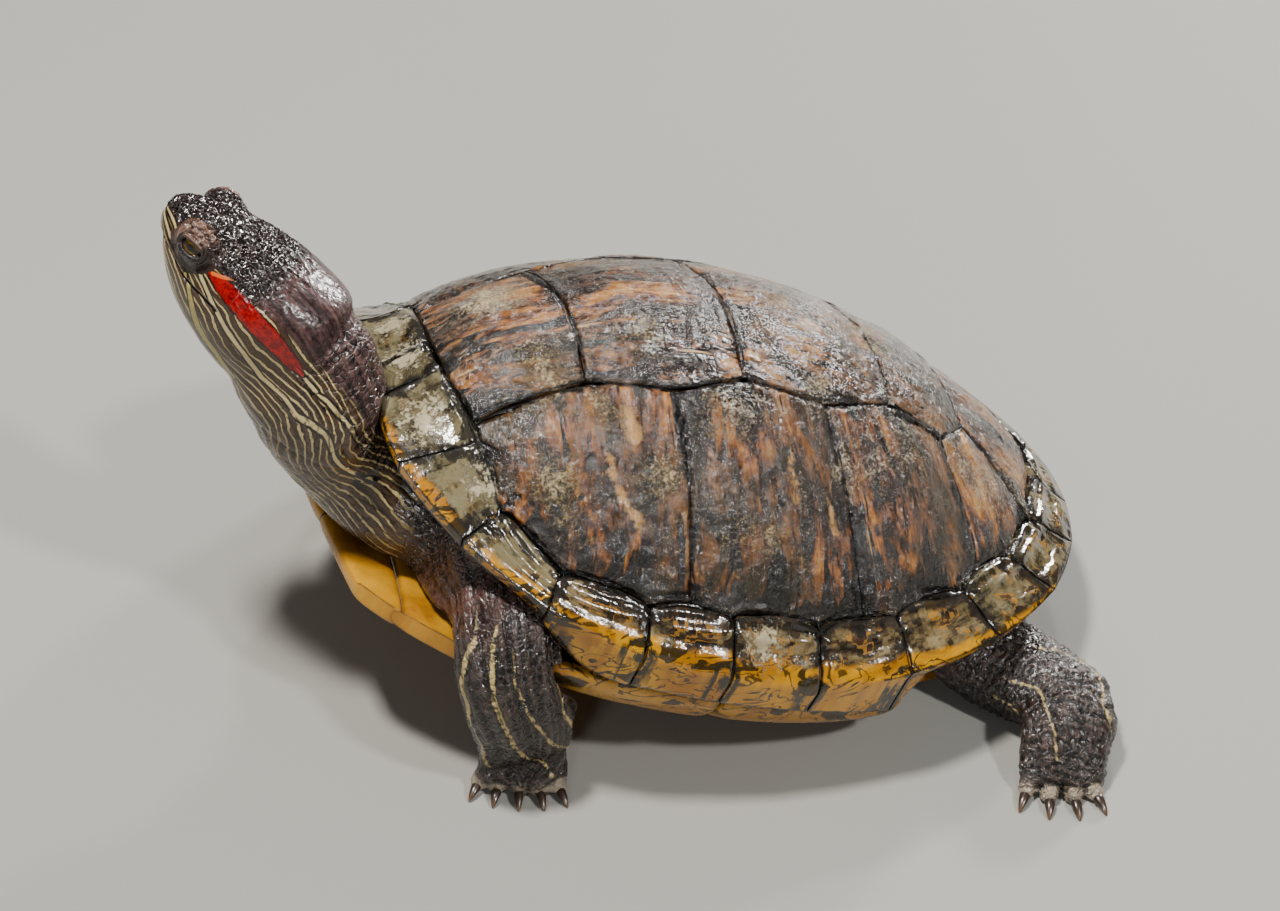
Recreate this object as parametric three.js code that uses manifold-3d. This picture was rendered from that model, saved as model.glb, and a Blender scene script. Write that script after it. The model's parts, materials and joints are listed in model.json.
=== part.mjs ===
// Red-eared slider turtle (Trachemys scripta elegans), life size, in millimetres, +Z up.
// The animal stands on a plain floor with its front end raised, its neck stretched upwards
// and its head turned to its own right. The head points towards -X, the left side is -Y.
//
// Everything is drawn first in the frame of the shell: x runs from the front edge of the
// carapace to its rear edge, y to the animal's right, z up from the plane of the shell's rim.
// The stance then pitches that frame nose up and sets it down on the floor, z = 0.

import * as THREE from 'three';
import { mergeVertices } from 'three/addons/utils/BufferGeometryUtils.js';
import Module from 'manifold-3d';

const wasm = await Module();
wasm.setup();

// ---------------------------------------------------------------- driving dimensions

const carapaceLength = 200;
const shellHalfWidth = 73.8;
const domeHeight = 60;
const domeApex = 86;
const widestAt = 109.6;
const plateThickness = 4;
const seamGap = 0.35;
const headLength = 46;
const shellPitch = 14;
const floorLevel = -55.5;

const partingGap = 0.3;
const radians = Math.PI / 180;

// ---------------------------------------------------------------- small helpers

const point = (x, y, z) => new THREE.Vector3(x, y, z);
const mix = (a, b, t) => a + (b - a) * t;
const clamp01 = (t) => Math.min(1, Math.max(0, t));

function smoothStep(from, to, value) {
  const t = clamp01((value - from) / (to - from));
  return t * t * (3 - 2 * t);
}

// A whole number of equal steps from 0 to 1.
function steps(count) {
  return Array.from({ length: count + 1 }, (_, i) => i / count);
}

// Turns a triangle soup of corner points into a geometry whose faces point outwards.
function geometryOf(corners) {
  let volume = 0;
  for (let i = 0; i < corners.length; i += 3) {
    volume += corners[i].dot(corners[i + 1].clone().cross(corners[i + 2]));
  }
  const values = [];
  for (let i = 0; i < corners.length; i += 3) {
    const [a, b, c] = corners.slice(i, i + 3);
    const face = volume > 0 ? [a, b, c] : [a, c, b];
    for (const corner of face) values.push(corner.x, corner.y, corner.z);
  }
  const geometry = new THREE.BufferGeometry();
  geometry.setAttribute('position', new THREE.Float32BufferAttribute(values, 3));
  return mergeVertices(geometry, 1e-4);
}

// Closes a row of equal rings into one body. A ring may be a single point, as at a tip.
function loft(rings) {
  const corners = [];
  const sides = Math.max(...rings.map((ring) => ring.length));
  const at = (ring, j) => (ring.length === 1 ? ring[0] : ring[j % sides]);
  for (let i = 0; i + 1 < rings.length; i += 1) {
    for (let j = 0; j < sides; j += 1) {
      const a = at(rings[i], j);
      const b = at(rings[i], j + 1);
      const c = at(rings[i + 1], j + 1);
      const d = at(rings[i + 1], j);
      if (rings[i].length > 1) corners.push(a, b, c);
      if (rings[i + 1].length > 1) corners.push(a, c, d);
      else if (rings[i].length === 1) corners.push(a, c, d);
    }
  }
  const cap = (ring, forward) => {
    if (ring.length === 1) return;
    const middle = point(0, 0, 0);
    for (const corner of ring) middle.addScaledVector(corner, 1 / ring.length);
    for (let j = 0; j < sides; j += 1) {
      const pair = [at(ring, j), at(ring, j + 1)];
      corners.push(middle, forward ? pair[0] : pair[1], forward ? pair[1] : pair[0]);
    }
  };
  cap(rings[0], false);
  cap(rings[rings.length - 1], true);
  return geometryOf(corners);
}

// A plate between two grids of points that have the same rows and columns.
function plate(outer, inner) {
  const corners = [];
  const quad = (a, b, c, d) => corners.push(a, b, c, a, c, d);
  const rows = outer.length - 1;
  const columns = outer[0].length - 1;
  for (let i = 0; i < rows; i += 1) {
    for (let j = 0; j < columns; j += 1) {
      quad(outer[i][j], outer[i][j + 1], outer[i + 1][j + 1], outer[i + 1][j]);
      quad(inner[i][j], inner[i + 1][j], inner[i + 1][j + 1], inner[i][j + 1]);
    }
  }
  for (let i = 0; i < rows; i += 1) {
    quad(outer[i][0], outer[i + 1][0], inner[i + 1][0], inner[i][0]);
    quad(outer[i + 1][columns], outer[i][columns], inner[i][columns], inner[i + 1][columns]);
  }
  for (let j = 0; j < columns; j += 1) {
    quad(outer[0][j + 1], outer[0][j], inner[0][j], inner[0][j + 1]);
    quad(outer[rows][j], outer[rows][j + 1], inner[rows][j + 1], inner[rows][j]);
  }
  return geometryOf(corners);
}

function solidOf(geometry) {
  const bare = geometry.clone();
  bare.deleteAttribute('normal');
  bare.deleteAttribute('uv');
  const merged = mergeVertices(bare, 1e-4);
  return new wasm.Manifold(new wasm.Mesh({
    numProp: 3,
    vertProperties: new Float32Array(merged.attributes.position.array),
    triVerts: new Uint32Array(merged.index.array),
  }));
}

function geometryFrom(solid) {
  const mesh = solid.getMesh();
  const geometry = new THREE.BufferGeometry();
  geometry.setAttribute('position', new THREE.BufferAttribute(mesh.vertProperties, 3));
  geometry.setIndex(new THREE.BufferAttribute(mesh.triVerts, 1));
  return geometry;
}

// An ellipse of points round a centre: two half axes, given as vectors.
function ellipse(centre, sideways, upwards, sides, squareness = 1) {
  return Array.from({ length: sides }, (_, i) => {
    const angle = (i / sides) * 2 * Math.PI;
    const bulge = (value) => Math.sign(value) * Math.abs(value) ** squareness;
    return centre.clone()
      .addScaledVector(sideways, bulge(Math.cos(angle)))
      .addScaledVector(upwards, bulge(Math.sin(angle)));
  });
}

// A limb along a smooth line through stations. Each station gives its place, its half
// width along the limb's broad side and its half thickness across it.
function limb(stations, broadSide, count, sides, squareness = 1) {
  const curve = new THREE.CatmullRomCurve3(stations.map((s) => s.at), false, 'centripetal');
  const rings = steps(count).map((t) => {
    const place = t * (stations.length - 1);
    const first = Math.min(Math.floor(place), stations.length - 2);
    const along = curve.getTangent(t);
    const centre = curve.getPoint(t);
    const broad = broadSide.clone().addScaledVector(along, -broadSide.dot(along)).normalize();
    const across = along.clone().cross(broad);
    const width = mix(stations[first].width, stations[first + 1].width, place - first);
    const depth = mix(stations[first].depth, stations[first + 1].depth, place - first);
    return ellipse(centre, broad.multiplyScalar(width), across.multiplyScalar(depth), sides, squareness);
  });
  return rings;
}

// ---------------------------------------------------------------- the shape of the shell

// The outer rim, seen from above, as an angle from the front round to the rear.
const rimPowerFront = 0.82;
const rimPowerRear = 1.04;
const frontRise = 24;
const nuchalNotch = 4.5;

function rearRise(share) {
  return 29.2 * share - 14.4 * share ** 2;
}

function rim(angle) {
  const cosine = Math.cos(angle * radians);
  const sine = Math.abs(Math.sin(angle * radians));
  const front = cosine > 0;
  const reach = front ? widestAt : carapaceLength - widestAt;
  const notch = nuchalNotch * Math.exp(-((angle / 9) ** 2));
  const x = widestAt - reach * cosine + notch;
  const y = shellHalfWidth * sine ** (front ? rimPowerFront : rimPowerRear);
  const z = front ? frontRise * cosine ** 3 : rearRise(-cosine);
  return point(x, y, z);
}

function halfWidthAt(x) {
  const front = x < widestAt;
  const reach = front ? widestAt : carapaceLength - widestAt;
  const cosine = Math.min(1, Math.abs(x - widestAt) / reach);
  return shellHalfWidth * Math.sqrt(1 - cosine ** 2) ** (front ? rimPowerFront : rimPowerRear);
}

// The height of the dome over the plan of the shell: a ridge line from front to rear, and
// a fall from the ridge to the base on both sides.
const ridgeEnd = 15;

function domeBase(x) {
  if (x < widestAt) return 0.75 * frontRise * ((widestAt - x) / widestAt) ** 3;
  return 0.6 * rearRise((x - widestAt) / (carapaceLength - widestAt));
}

function domeHeightAt(x, y) {
  const front = x < domeApex;
  const away = Math.min(1, Math.abs(x - domeApex) / (front ? domeApex : carapaceLength - domeApex));
  const ridge = domeHeight - (domeHeight - ridgeEnd) * away ** (front ? 2.68 : 1.66);
  const across = Math.min(1, Math.abs(y) / Math.max(1, halfWidthAt(x)));
  return domeBase(x) + (ridge - domeBase(x)) * (1 - across ** 1.85);
}

function domeNormal(x, y) {
  const d = 0.5;
  const slopeX = (domeHeightAt(x + d, y) - domeHeightAt(x - d, y)) / (2 * d);
  const slopeY = (domeHeightAt(x, y + d) - domeHeightAt(x, y - d)) / (2 * d);
  return point(-slopeX, -slopeY, 1).normalize();
}

// The margin is counted in scutes: 0 is the seam beside the nuchal, 1 the seam between the
// first and second marginals, and so on to 12 on the middle line at the rear.
const rimAngles = [2, 15.6, 31.5, 47.4, 62.4, 74.6, 86.9, 101.4, 119.3, 138.1, 155, 168.5, 180];

function rimAngleAt(count) {
  const first = Math.min(11, Math.floor(count));
  return mix(rimAngles[first], rimAngles[first + 1], count - first);
}

// The inner ends of the same seams, where the marginals meet the rest: [x, half width].
const innerSeamLine = new THREE.SplineCurve([
  [17, 5],
  [21.5, 25.5],
  [25, 39.5],
  [38, 52.5],
  [59, 60],
  [80, 63.5],
  [102, 65],
  [124, 63],
  [145.5, 55],
  [164, 43.5],
  [177, 29.5],
  [186.5, 13],
  [188.5, 0],
].map(([x, y]) => new THREE.Vector2(x, y)));

function innerSeam(count) {
  const place = innerSeamLine.getPoint(Math.min(1, count / 12));
  return point(place.x, place.y, domeHeightAt(place.x, place.y));
}

// ---------------------------------------------------------------- carapace scutes

// Corners between the vertebral and costal scutes, front to rear: [x, half width]. The first
// and the last lie on the margin's inner seam.
const firstVertebralCount = 0.78;
const lastVertebralCount = 10;
const vertebralCorners = [
  [innerSeam(firstVertebralCount).x, innerSeam(firstVertebralCount).y],
  [44, 21.5],
  [65.5, 26.3],
  [83, 23.5],
  [105.5, 27],
  [128, 20.5],
  [143.5, 23.8],
  [155, 15.5],
  [innerSeam(lastVertebralCount).x, innerSeam(lastVertebralCount).y],
].map(([x, y]) => new THREE.Vector2(x, y));

const scuteRise = 0.7;
const scuteGroove = 0.5;

// A scute of the dome: plan(u, v) gives its outline on the plan, u and v from 0 to 1.
function domeScute(plan, rows, columns) {
  const outer = [];
  const inner = [];
  for (const u of steps(rows)) {
    const lengthAcross = plan(u, 0).distanceTo(plan(u, 1));
    const outerRow = [];
    const innerRow = [];
    for (const v of steps(columns)) {
      const lengthAlong = plan(0, v).distanceTo(plan(1, v));
      const insetU = seamGap / lengthAlong;
      const insetV = seamGap / lengthAcross;
      const place = plan(mix(insetU, 1 - insetU, u), mix(insetV, 1 - insetV, v));
      const normal = domeNormal(place.x, place.y);
      const surface = point(place.x, place.y, domeHeightAt(place.x, place.y));
      const crown = Math.min(1, 4 * Math.min(u, 1 - u, v, 1 - v));
      outerRow.push(surface.clone().addScaledVector(normal, mix(-scuteGroove, scuteRise, crown)));
      innerRow.push(surface.clone().addScaledVector(normal, -plateThickness));
    }
    outer.push(outerRow);
    inner.push(innerRow);
  }
  return plate(outer, inner);
}

// A point on a bent line of corners, with the same number of steps on each length.
function alongCorners(corners, t) {
  const place = t * (corners.length - 1);
  const first = Math.min(Math.floor(place), corners.length - 2);
  return corners[first].clone().lerp(corners[first + 1], place - first);
}

const flat = (p, side = 1) => new THREE.Vector2(p.x, p.y * side);

function vertebral(index) {
  const corners = vertebralCorners.slice(Math.max(0, 2 * index - 1), 2 * index + 2);
  const plan = (u, v) => {
    const side = 2 * v - 1;
    if (index === 0) {
      const front = flat(innerSeam(firstVertebralCount * Math.abs(side)), Math.sign(side));
      front.y *= Math.min(1, Math.abs(side) * 4);
      return front.lerp(new THREE.Vector2(corners[1].x, corners[1].y * side), u);
    }
    if (index === 4) {
      const rear = flat(innerSeam(12 - (12 - lastVertebralCount) * Math.abs(side)), Math.sign(side));
      return new THREE.Vector2(corners[0].x, corners[0].y * side).lerp(rear, u);
    }
    const edge = alongCorners(corners, u);
    return new THREE.Vector2(edge.x, edge.y * side);
  };
  return domeScute(plan, 4, 4);
}

// The lower ends of the seams between the costals, counted along the margin.
const costalLowerSeams = [1, 4.5, 6.6, 8.35, 9.72];

function costal(index, side) {
  const upper = vertebralCorners.slice(2 * index, 2 * index + 3);
  const plan = (u, v) => {
    const low = innerSeam(mix(costalLowerSeams[index], costalLowerSeams[index + 1], u));
    const place = alongCorners(upper, u).lerp(flat(low), v);
    return new THREE.Vector2(place.x, place.y * side);
  };
  return domeScute(plan, 4, 5);
}

// ---------------------------------------------------------------- marginal scutes

// How far the margin is joined to the bridge below it.
function bridgeShare(count) {
  return smoothStep(2.9, 3.3, count) * (1 - smoothStep(7.02, 7.4, count));
}

const marginThickness = 5.5;
const bridgeSeamHeight = -6.5;

// A cut across the margin at a count of scutes, as seven points from the inner seam over
// the rim and back under it.
function marginSection(count, side, spread = 1) {
  const edge = rim(rimAngleAt(count) * spread);
  const top = innerSeam(count);
  top.y *= spread;
  const normal = domeNormal(top.x, top.y);
  const outwards = point(edge.x - top.x, edge.y - top.y, 0);
  const width = outwards.length();
  const inwards = outwards.clone().normalize().negate();
  top.addScaledVector(inwards, -seamGap);
  const joined = bridgeShare(count);
  const low = top.clone().addScaledVector(normal, -marginThickness);
  const under = (share, drop) => point(
    edge.x + inwards.x * share,
    edge.y + inwards.y * share,
    mix(edge.z - drop, bridgeSeamHeight, joined),
  );
  const section = [
    top,
    top.clone().lerp(edge, 0.5).add(point(0, 0, mix(0.2, 1.2, joined))),
    edge.clone().add(point(0, 0, 0.9)),
    edge.clone().addScaledVector(inwards, 0.6).add(point(0, 0, -1.6)),
    under(mix(0.3 * width, 1.2, joined), 2.4),
    under(mix(0.7 * width, Math.max(4, width - 4), joined), 2.6),
    low,
  ];
  return section.map((p) => point(p.x, p.y * side, p.z));
}

const countGap = 0.012;

function marginalCounts(index) {
  const last = index === 11 ? 0.016 : countGap;
  return steps(2).map((t) => mix(index + countGap, index + 1 - last, t));
}

function marginal(index, side) {
  return loft(marginalCounts(index).map((count) => marginSection(count, side)));
}

// The nuchal bridges the middle line between the two first marginals.
function nuchalSections() {
  return [-1, -0.4, 0.4, 1].map((t) => marginSection(0, Math.sign(t), Math.abs(t) * 0.93));
}

// ---------------------------------------------------------------- plastron

const plastronThickness = 4.5;
const plastronFloor = -17;

function plastronHeight(x) {
  const sag = 3.2 * smoothStep(20, 60, x);
  return plastronFloor - sag + 9 * Math.max(0, (x - 90) / 96) ** 1.5;
}

// The half width of the flat part: front lobe, the stretch between the bridges, rear lobe.
function plastronHalfWidth(x) {
  const frontLobe = 20 + 34 * clamp01((x - 4) / 32) ** 0.65;
  const rearLobe = 50 * (1 - clamp01((x - 138) / 56) ** 2.6) ** 0.7;
  return mix(frontLobe, rearLobe, smoothStep(80, 120, x));
}

function bridgeHeightShare(x) {
  return mix(0.08, 1, smoothStep(36, 44, x) * (1 - smoothStep(134, 142, x)));
}

const bridgeReach = 14.5;
const bridgeTop = bridgeSeamHeight - 0.7;
const wallStart = 0.75;

// A point of the plastron's under side (depth 0) or of its upper side (depth 1).
function plastronPoint(x, v, depth) {
  const side = Math.sign(v);
  const away = Math.abs(v);
  const share = bridgeHeightShare(x);
  const turn = clamp01((away - wallStart) / (1 - wallStart)) * 90 * radians;
  const bridgeFoot = halfWidthAt(x) - 2.4 - bridgeReach;
  const flatWidth = mix(plastronHalfWidth(x), bridgeFoot, smoothStep(0.2, 0.9, share));
  const y = Math.min(1, away / wallStart) * flatWidth + share * bridgeReach * Math.sin(turn);
  const rise = share * (bridgeTop - plastronHeight(x));
  const z = plastronHeight(x) + rise * (1 - Math.cos(turn));
  const inwards = depth * plastronThickness * share * Math.sin(turn);
  const upwards = depth * plastronThickness * mix(1, Math.cos(turn), share);
  return point(x, side * (y - inwards), z + upwards);
}

// Seams across the plastron, front to rear: x on the middle line, x at the edge.
const plastronSeams = [
  [4, 5.5],
  [22, 10.8],
  [40, 26],
  [82, 84],
  [122, 137],
  [152, 166],
  [182, 189],
];
const plastronNames = ['gular', 'humeral', 'pectoral', 'abdominal', 'femoral', 'anal'];

// A pair of plastron scutes, left and right as one plate, between two of the seams.
function plastronPair(index) {
  const columns = [-1, -0.92, -0.84, -0.75, 0, 0.75, 0.84, 0.92, 1];
  const seamX = (seam, v) => mix(seam[0], seam[1], Math.abs(v) ** 1.4);
  const rows = steps(index === 2 ? 7 : 3);
  const grid = (depth) => rows.map((u) => columns.map((v) => {
    const front = seamX(plastronSeams[index], v) + seamGap / 2;
    const rear = seamX(plastronSeams[index + 1], v) - seamGap / 2;
    return plastronPoint(mix(front, rear, u), v, depth);
  }));
  return plate(grid(0), grid(1));
}

// ---------------------------------------------------------------- the floor

// Turns a place given from the floor (x along the floor, y, height) into the shell's frame.
const stance = new THREE.Matrix4().makeRotationY(shellPitch * radians);
const unstance = stance.clone().invert();
const fromFloor = (x, y, height) => point(x, y, height + floorLevel).applyMatrix4(unstance);

function block(centre, size) {
  const box = new THREE.BoxGeometry(size.x, size.y, size.z);
  box.translate(centre.x, centre.y, centre.z);
  return box;
}

const floorBlock = solidOf(
  block(point(100, 0, floorLevel - 50), point(600, 600, 100)).applyMatrix4(unstance),
);

// ---------------------------------------------------------------- trunk

const trunkFront = 20.5;
const trunkRear = 176;
const fleshClearance = 0.7;

function trunkHalfWidth(x) {
  const shoulder = mix(39, 50, smoothStep(trunkFront, 30, x));
  return mix(shoulder, 53, smoothStep(36, 58, x)) * (1 - 0.62 * smoothStep(128, 176, x));
}

// The body inside the shell, grown by a small amount where the limbs are cut back to it.
function trunk(growth) {
  const rings = steps(12).map((t) => {
    const x = mix(trunkFront - growth, trunkRear + growth, t);
    const half = trunkHalfWidth(x) + growth;
    const drawnIn = 3 * (1 - smoothStep(40, 66, x));
    const ring = [];
    for (const v of steps(9)) {
      const y = mix(-half, half, v);
      const depth = (plateThickness + fleshClearance - growth) / domeNormal(x, y).z;
      ring.push(point(x, y, domeHeightAt(x, y) - depth - drawnIn));
    }
    const bottom = plastronHeight(x) + plastronThickness + fleshClearance - growth;
    for (const v of steps(5)) ring.push(point(x, mix(half - 3, 3 - half, v), bottom));
    return ring;
  });
  return loft(rings);
}

// ---------------------------------------------------------------- cutting the flesh back

// The plastron and the margin, both a little larger: flesh that leaves the shell is cut back
// to them, so that it lies on the shell with the parting gap between.
const cutterPlaces = [3, 8, 14, 22, 33, 36, 39, 42, 60, 118, 136, 144, 152, 162, 172, 182, 189.7];
const plastronCutter = solidOf(loft(cutterPlaces.map((x) => {
  const widest = x > 32 && x < 145 ? mix(x, 88, 0.07) : x;
  const share = bridgeHeightShare(widest);
  const low = plastronHeight(x) - 0.8;
  const high = mix(low + plastronThickness + 1.5, bridgeTop + partingGap, share);
  const reach = (v) => Math.max(plastronPoint(x, v, 0).y, plastronPoint(widest, v, 0).y) + 0.7;
  const corners = [
    [reach(wallStart) + 3 * share, low],
    [reach(0.92), mix(low, high, 0.25 * share)],
    [reach(1), high],
  ];
  const left = corners.map(([y, z]) => point(x, -y, z));
  const right = corners.map(([y, z]) => point(x, y, z)).reverse();
  return [...left, ...right];
})));

function grownLoft(sections) {
  return solidOf(loft(sections.map((section) => {
    const middle = point(0, 0, 0);
    for (const corner of section) middle.addScaledVector(corner, 1 / section.length);
    return section.map((corner) => corner.clone().sub(middle).multiplyScalar(1.18).add(middle));
  })));
}

function marginCutter(side) {
  const counts = steps(11).flatMap((_, index) => marginalCounts(index));
  return grownLoft(counts.map((count) => marginSection(count, side)));
}

const shellCutters = [
  plastronCutter,
  marginCutter(-1),
  marginCutter(1),
  grownLoft(nuchalSections()),
];
const trunkCutter = solidOf(trunk(partingGap));

function cutBack(geometry, cutters) {
  let solid = solidOf(geometry);
  for (const cutter of cutters) solid = solid.subtract(cutter);
  const bodies = solid.decompose().sort((a, b) => b.volume() - a.volume());
  return geometryFrom(bodies[0]);
}

// ---------------------------------------------------------------- neck and head

// The head's own directions in the shell's frame: turned to the animal's right and raised.
const headTurn = 35;
const headRaise = 17.6;
const headForward = point(
  -Math.cos(headTurn * radians) * Math.cos(headRaise * radians),
  Math.sin(headTurn * radians) * Math.cos(headRaise * radians),
  Math.sin(headRaise * radians),
);
const headRight = point(Math.sin(headTurn * radians), Math.cos(headTurn * radians), 0);
const headUp = headRight.clone().cross(headForward);
const headBase = point(-11, 0.4, 36.5);

// A place in the head: share of its length from the nape, to its right, upwards.
function inHead(share, right, up) {
  return headBase.clone()
    .addScaledVector(headForward, share * headLength)
    .addScaledVector(headRight, right)
    .addScaledVector(headUp, up);
}

// Sections of the head: share of length, half width, height above and below the axis.
const headSections = [
  [0, 13.4, 10.2, 18.5],
  [0.14, 14.8, 11, 20.5],
  [0.3, 15.6, 11.2, 20.5],
  [0.45, 14.9, 11, 18.8],
  [0.58, 13.1, 10.6, 16.6],
  [0.7, 11, 9.8, 14],
  [0.8, 8.9, 8.8, 10.6],
  [0.88, 6.9, 7.5, 6.6],
  [0.95, 4.3, 6.1, 2.2],
  [0.99, 2.3, 4.6, 0.8],
];

function headShape(growth) {
  const rings = headSections.map(([share, half, top, bottom]) => {
    const width = half + growth;
    const above = top + growth;
    const below = bottom + growth;
    const centre = inHead(share - growth / headLength, 0, 0);
    return steps(13).map((t) => {
      const angle = t * (13 / 14) * 2 * Math.PI;
      const across = Math.cos(angle);
      const rise = Math.sin(angle);
      const flatten = rise > 0 ? Math.abs(rise) ** 0.85 : -(Math.abs(rise) ** 0.95);
      const wide = Math.sign(across) * Math.abs(across) ** 0.8;
      return centre.clone()
        .addScaledVector(headRight, width * wide)
        .addScaledVector(headUp, (rise > 0 ? above : below) * flatten);
    });
  });
  return loft(rings);
}

// The eyes bulge from the sides of the head, high up, behind the short snout.
const eyeRadius = 4.1;
const lidRadius = 5.2;
const eyeShare = 0.77;
const eyeOut = 7.9;
const eyeHeight = 4.4;

function ballAt(centre, radius, wide, high) {
  const ball = new THREE.SphereGeometry(radius, wide, high);
  const turn = new THREE.Matrix4().makeBasis(headForward, headUp, headRight);
  return ball.applyMatrix4(turn).translate(centre.x, centre.y, centre.z);
}

function lidOpening(side) {
  const opening = new THREE.SphereGeometry(1, 8, 5).scale(3.3, 2.1, 4);
  const turn = new THREE.Matrix4().makeBasis(headForward, headUp, headRight);
  const centre = inHead(eyeShare + 0.03, side * (eyeOut + eyeRadius + 0.6), eyeHeight - 0.5);
  return opening.applyMatrix4(turn).translate(centre.x, centre.y, centre.z);
}

function eye(side) {
  return ballAt(inHead(eyeShare, side * eyeOut, eyeHeight), eyeRadius, 10, 7);
}

// Everything below the line of the mouth, in front of the corner of the jaws.
function jawBlock(drop) {
  const outline = new THREE.Shape([
    new THREE.Vector2(0.5, -3.6 - drop),
    new THREE.Vector2(0.72, -4.4 - drop),
    new THREE.Vector2(0.9, -2.6 - drop),
    new THREE.Vector2(1.1, -2.2 - drop),
    new THREE.Vector2(1.1, -20),
    new THREE.Vector2(0.46 + drop / headLength, -20),
  ].map((p) => new THREE.Vector2(p.x * headLength, p.y)));
  const wedge = new THREE.ExtrudeGeometry(outline, { depth: 60, bevelEnabled: false });
  const turn = new THREE.Matrix4().makeBasis(headForward, headUp, headRight);
  wedge.translate(0, 0, -30).applyMatrix4(turn);
  return wedge.translate(headBase.x, headBase.y, headBase.z);
}

function headAndJaw() {
  let skull = solidOf(headShape(0));
  const jaw = skull.intersect(solidOf(jawBlock(partingGap)));
  skull = skull.subtract(solidOf(jawBlock(0)));
  for (const side of [-1, 1]) {
    const middle = inHead(eyeShare, side * (eyeOut - 0.3), eyeHeight);
    skull = skull.add(solidOf(ballAt(middle, lidRadius, 10, 6)));
    const socket = ballAt(inHead(eyeShare, side * eyeOut, eyeHeight), eyeRadius + partingGap, 10, 7);
    skull = skull.subtract(solidOf(socket)).subtract(solidOf(lidOpening(side)));
  }
  return [geometryFrom(skull), geometryFrom(jaw)];
}

function neck() {
  const rings = limb([
    { at: point(34, 0, 1), width: 28, depth: 15.5 },
    { at: point(21, 0, 1.5), width: 27, depth: 15.5 },
    { at: point(13, 0.5, 3.5), width: 20.5, depth: 15.2 },
    { at: point(3.5, 0.8, 9), width: 15.2, depth: 13.6 },
    { at: point(-5, -0.6, 15.5), width: 14, depth: 14.4 },
    { at: inHead(-0.16, 0, -12.6), width: 13.8, depth: 16 },
    { at: inHead(0, 0, -10), width: 13.8, depth: 16 },
    { at: inHead(0.2, 0, -7), width: 13, depth: 13 },
  ], headRight, 10, 14, 0.85);
  return cutBack(loft(rings), [...shellCutters, trunkCutter, solidOf(headShape(partingGap))]);
}

// ---------------------------------------------------------------- tail

function tail() {
  const rings = limb([
    { at: point(168, 0, 3), width: 8, depth: 6.5 },
    { at: point(180, 1, 2.5), width: 7, depth: 6 },
    { at: point(187, 5, 0.5), width: 5.5, depth: 4.6 },
    { at: point(190, 12, -1.5), width: 4.2, depth: 3.4 },
    { at: point(189, 20, -3), width: 3, depth: 2.4 },
    { at: point(186, 28, -4), width: 1.6, depth: 1.3 },
  ], point(0, 1, 0), 10, 10);
  return cutBack(loft(rings), [...shellCutters, trunkCutter]);
}

// ---------------------------------------------------------------- legs

// A toe with its claw: from the sole forwards, a round toe and then a narrow claw.
function toe(root, along, upwards, length, thickness, clawLength) {
  const sideways = along.clone().cross(upwards).normalize();
  const stations = [
    [0, 1, 0],
    [0.8, 0.85, 0],
    [1, 0.4, -0.1],
  ];
  const rings = stations.map(([share, girth, lift]) => ellipse(
    root.clone().addScaledVector(along, share * length).addScaledVector(upwards, lift * thickness),
    sideways.clone().multiplyScalar(girth * thickness),
    upwards.clone().multiplyScalar(girth * thickness * 0.85),
    6,
  ));
  const claw = (share, girth, drop) => ellipse(
    root.clone().addScaledVector(along, length + share * clawLength).addScaledVector(upwards, -drop),
    sideways.clone().multiplyScalar(girth),
    upwards.clone().multiplyScalar(girth * 1.1),
    6,
  );
  rings.push(claw(0.45, 0.8, 0.2 * thickness));
  rings.push([root.clone()
    .addScaledVector(along, length + clawLength)
    .addScaledVector(upwards, -0.45 * thickness)]);
  return loft(rings);
}

// One whole leg as a row of rings, parted at the wrist or ankle; the toes and claws are
// joined to the foot, and the foot is flat where it stands.
function leg({ stations, broad, partAt, side, toes, heading, fan, toeRoot, toeLength, toeGirth, claw }) {
  const count = 2 * (stations.length - 1);
  const placed = stations.map(({ at, width, depth }) => ({
    at: point(at.x, at.y * side, at.z), width, depth,
  }));
  const broadSide = point(broad.x, broad.y * side, broad.z);
  const rings = limb(placed, broadSide, count, 10, 0.9);
  const upperRings = rings.slice(0, partAt + 1);
  const normal = upperRings[partAt][0].clone().sub(upperRings[partAt][5])
    .cross(upperRings[partAt][2].clone().sub(upperRings[partAt][7])).normalize();
  const towardsFoot = rings[partAt + 1][0].clone().sub(rings[partAt][0]).dot(normal) > 0 ? 1 : -1;
  const gap = normal.multiplyScalar(towardsFoot * partingGap);
  const upper = loft(upperRings);
  const upperCutters = [
    grownLoft(upperRings),
    grownLoft(upperRings.map((ring) => ring.map((p) => p.clone().add(gap)))),
  ];
  let foot = solidOf(loft(rings.slice(partAt)));
  const upwards = fromFloor(0, 0, 1).sub(fromFloor(0, 0, 0));
  for (const t of steps(toes - 1)) {
    const angle = (heading + mix(-fan, fan, t)) * radians;
    const along = fromFloor(Math.cos(angle), Math.sin(angle) * side, 0).sub(fromFloor(0, 0, 0));
    const spread = mix(-1, 1, t) * toeRoot.spread;
    const turned = (heading + 90) * radians;
    const start = fromFloor(
      toeRoot.x + Math.cos(turned) * spread,
      (toeRoot.y + Math.sin(turned) * spread) * side,
      toeRoot.height,
    );
    const reach = toeLength * (1 - 0.22 * Math.abs(mix(-1, 1, t)) ** 2);
    foot = foot.add(solidOf(toe(start, along, upwards, reach, toeGirth, claw)));
  }
  const cutters = [...shellCutters, trunkCutter];
  return [
    cutBack(upper, cutters),
    cutBack(geometryFrom(foot), [...cutters, ...upperCutters, floorBlock]),
  ];
}

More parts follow.
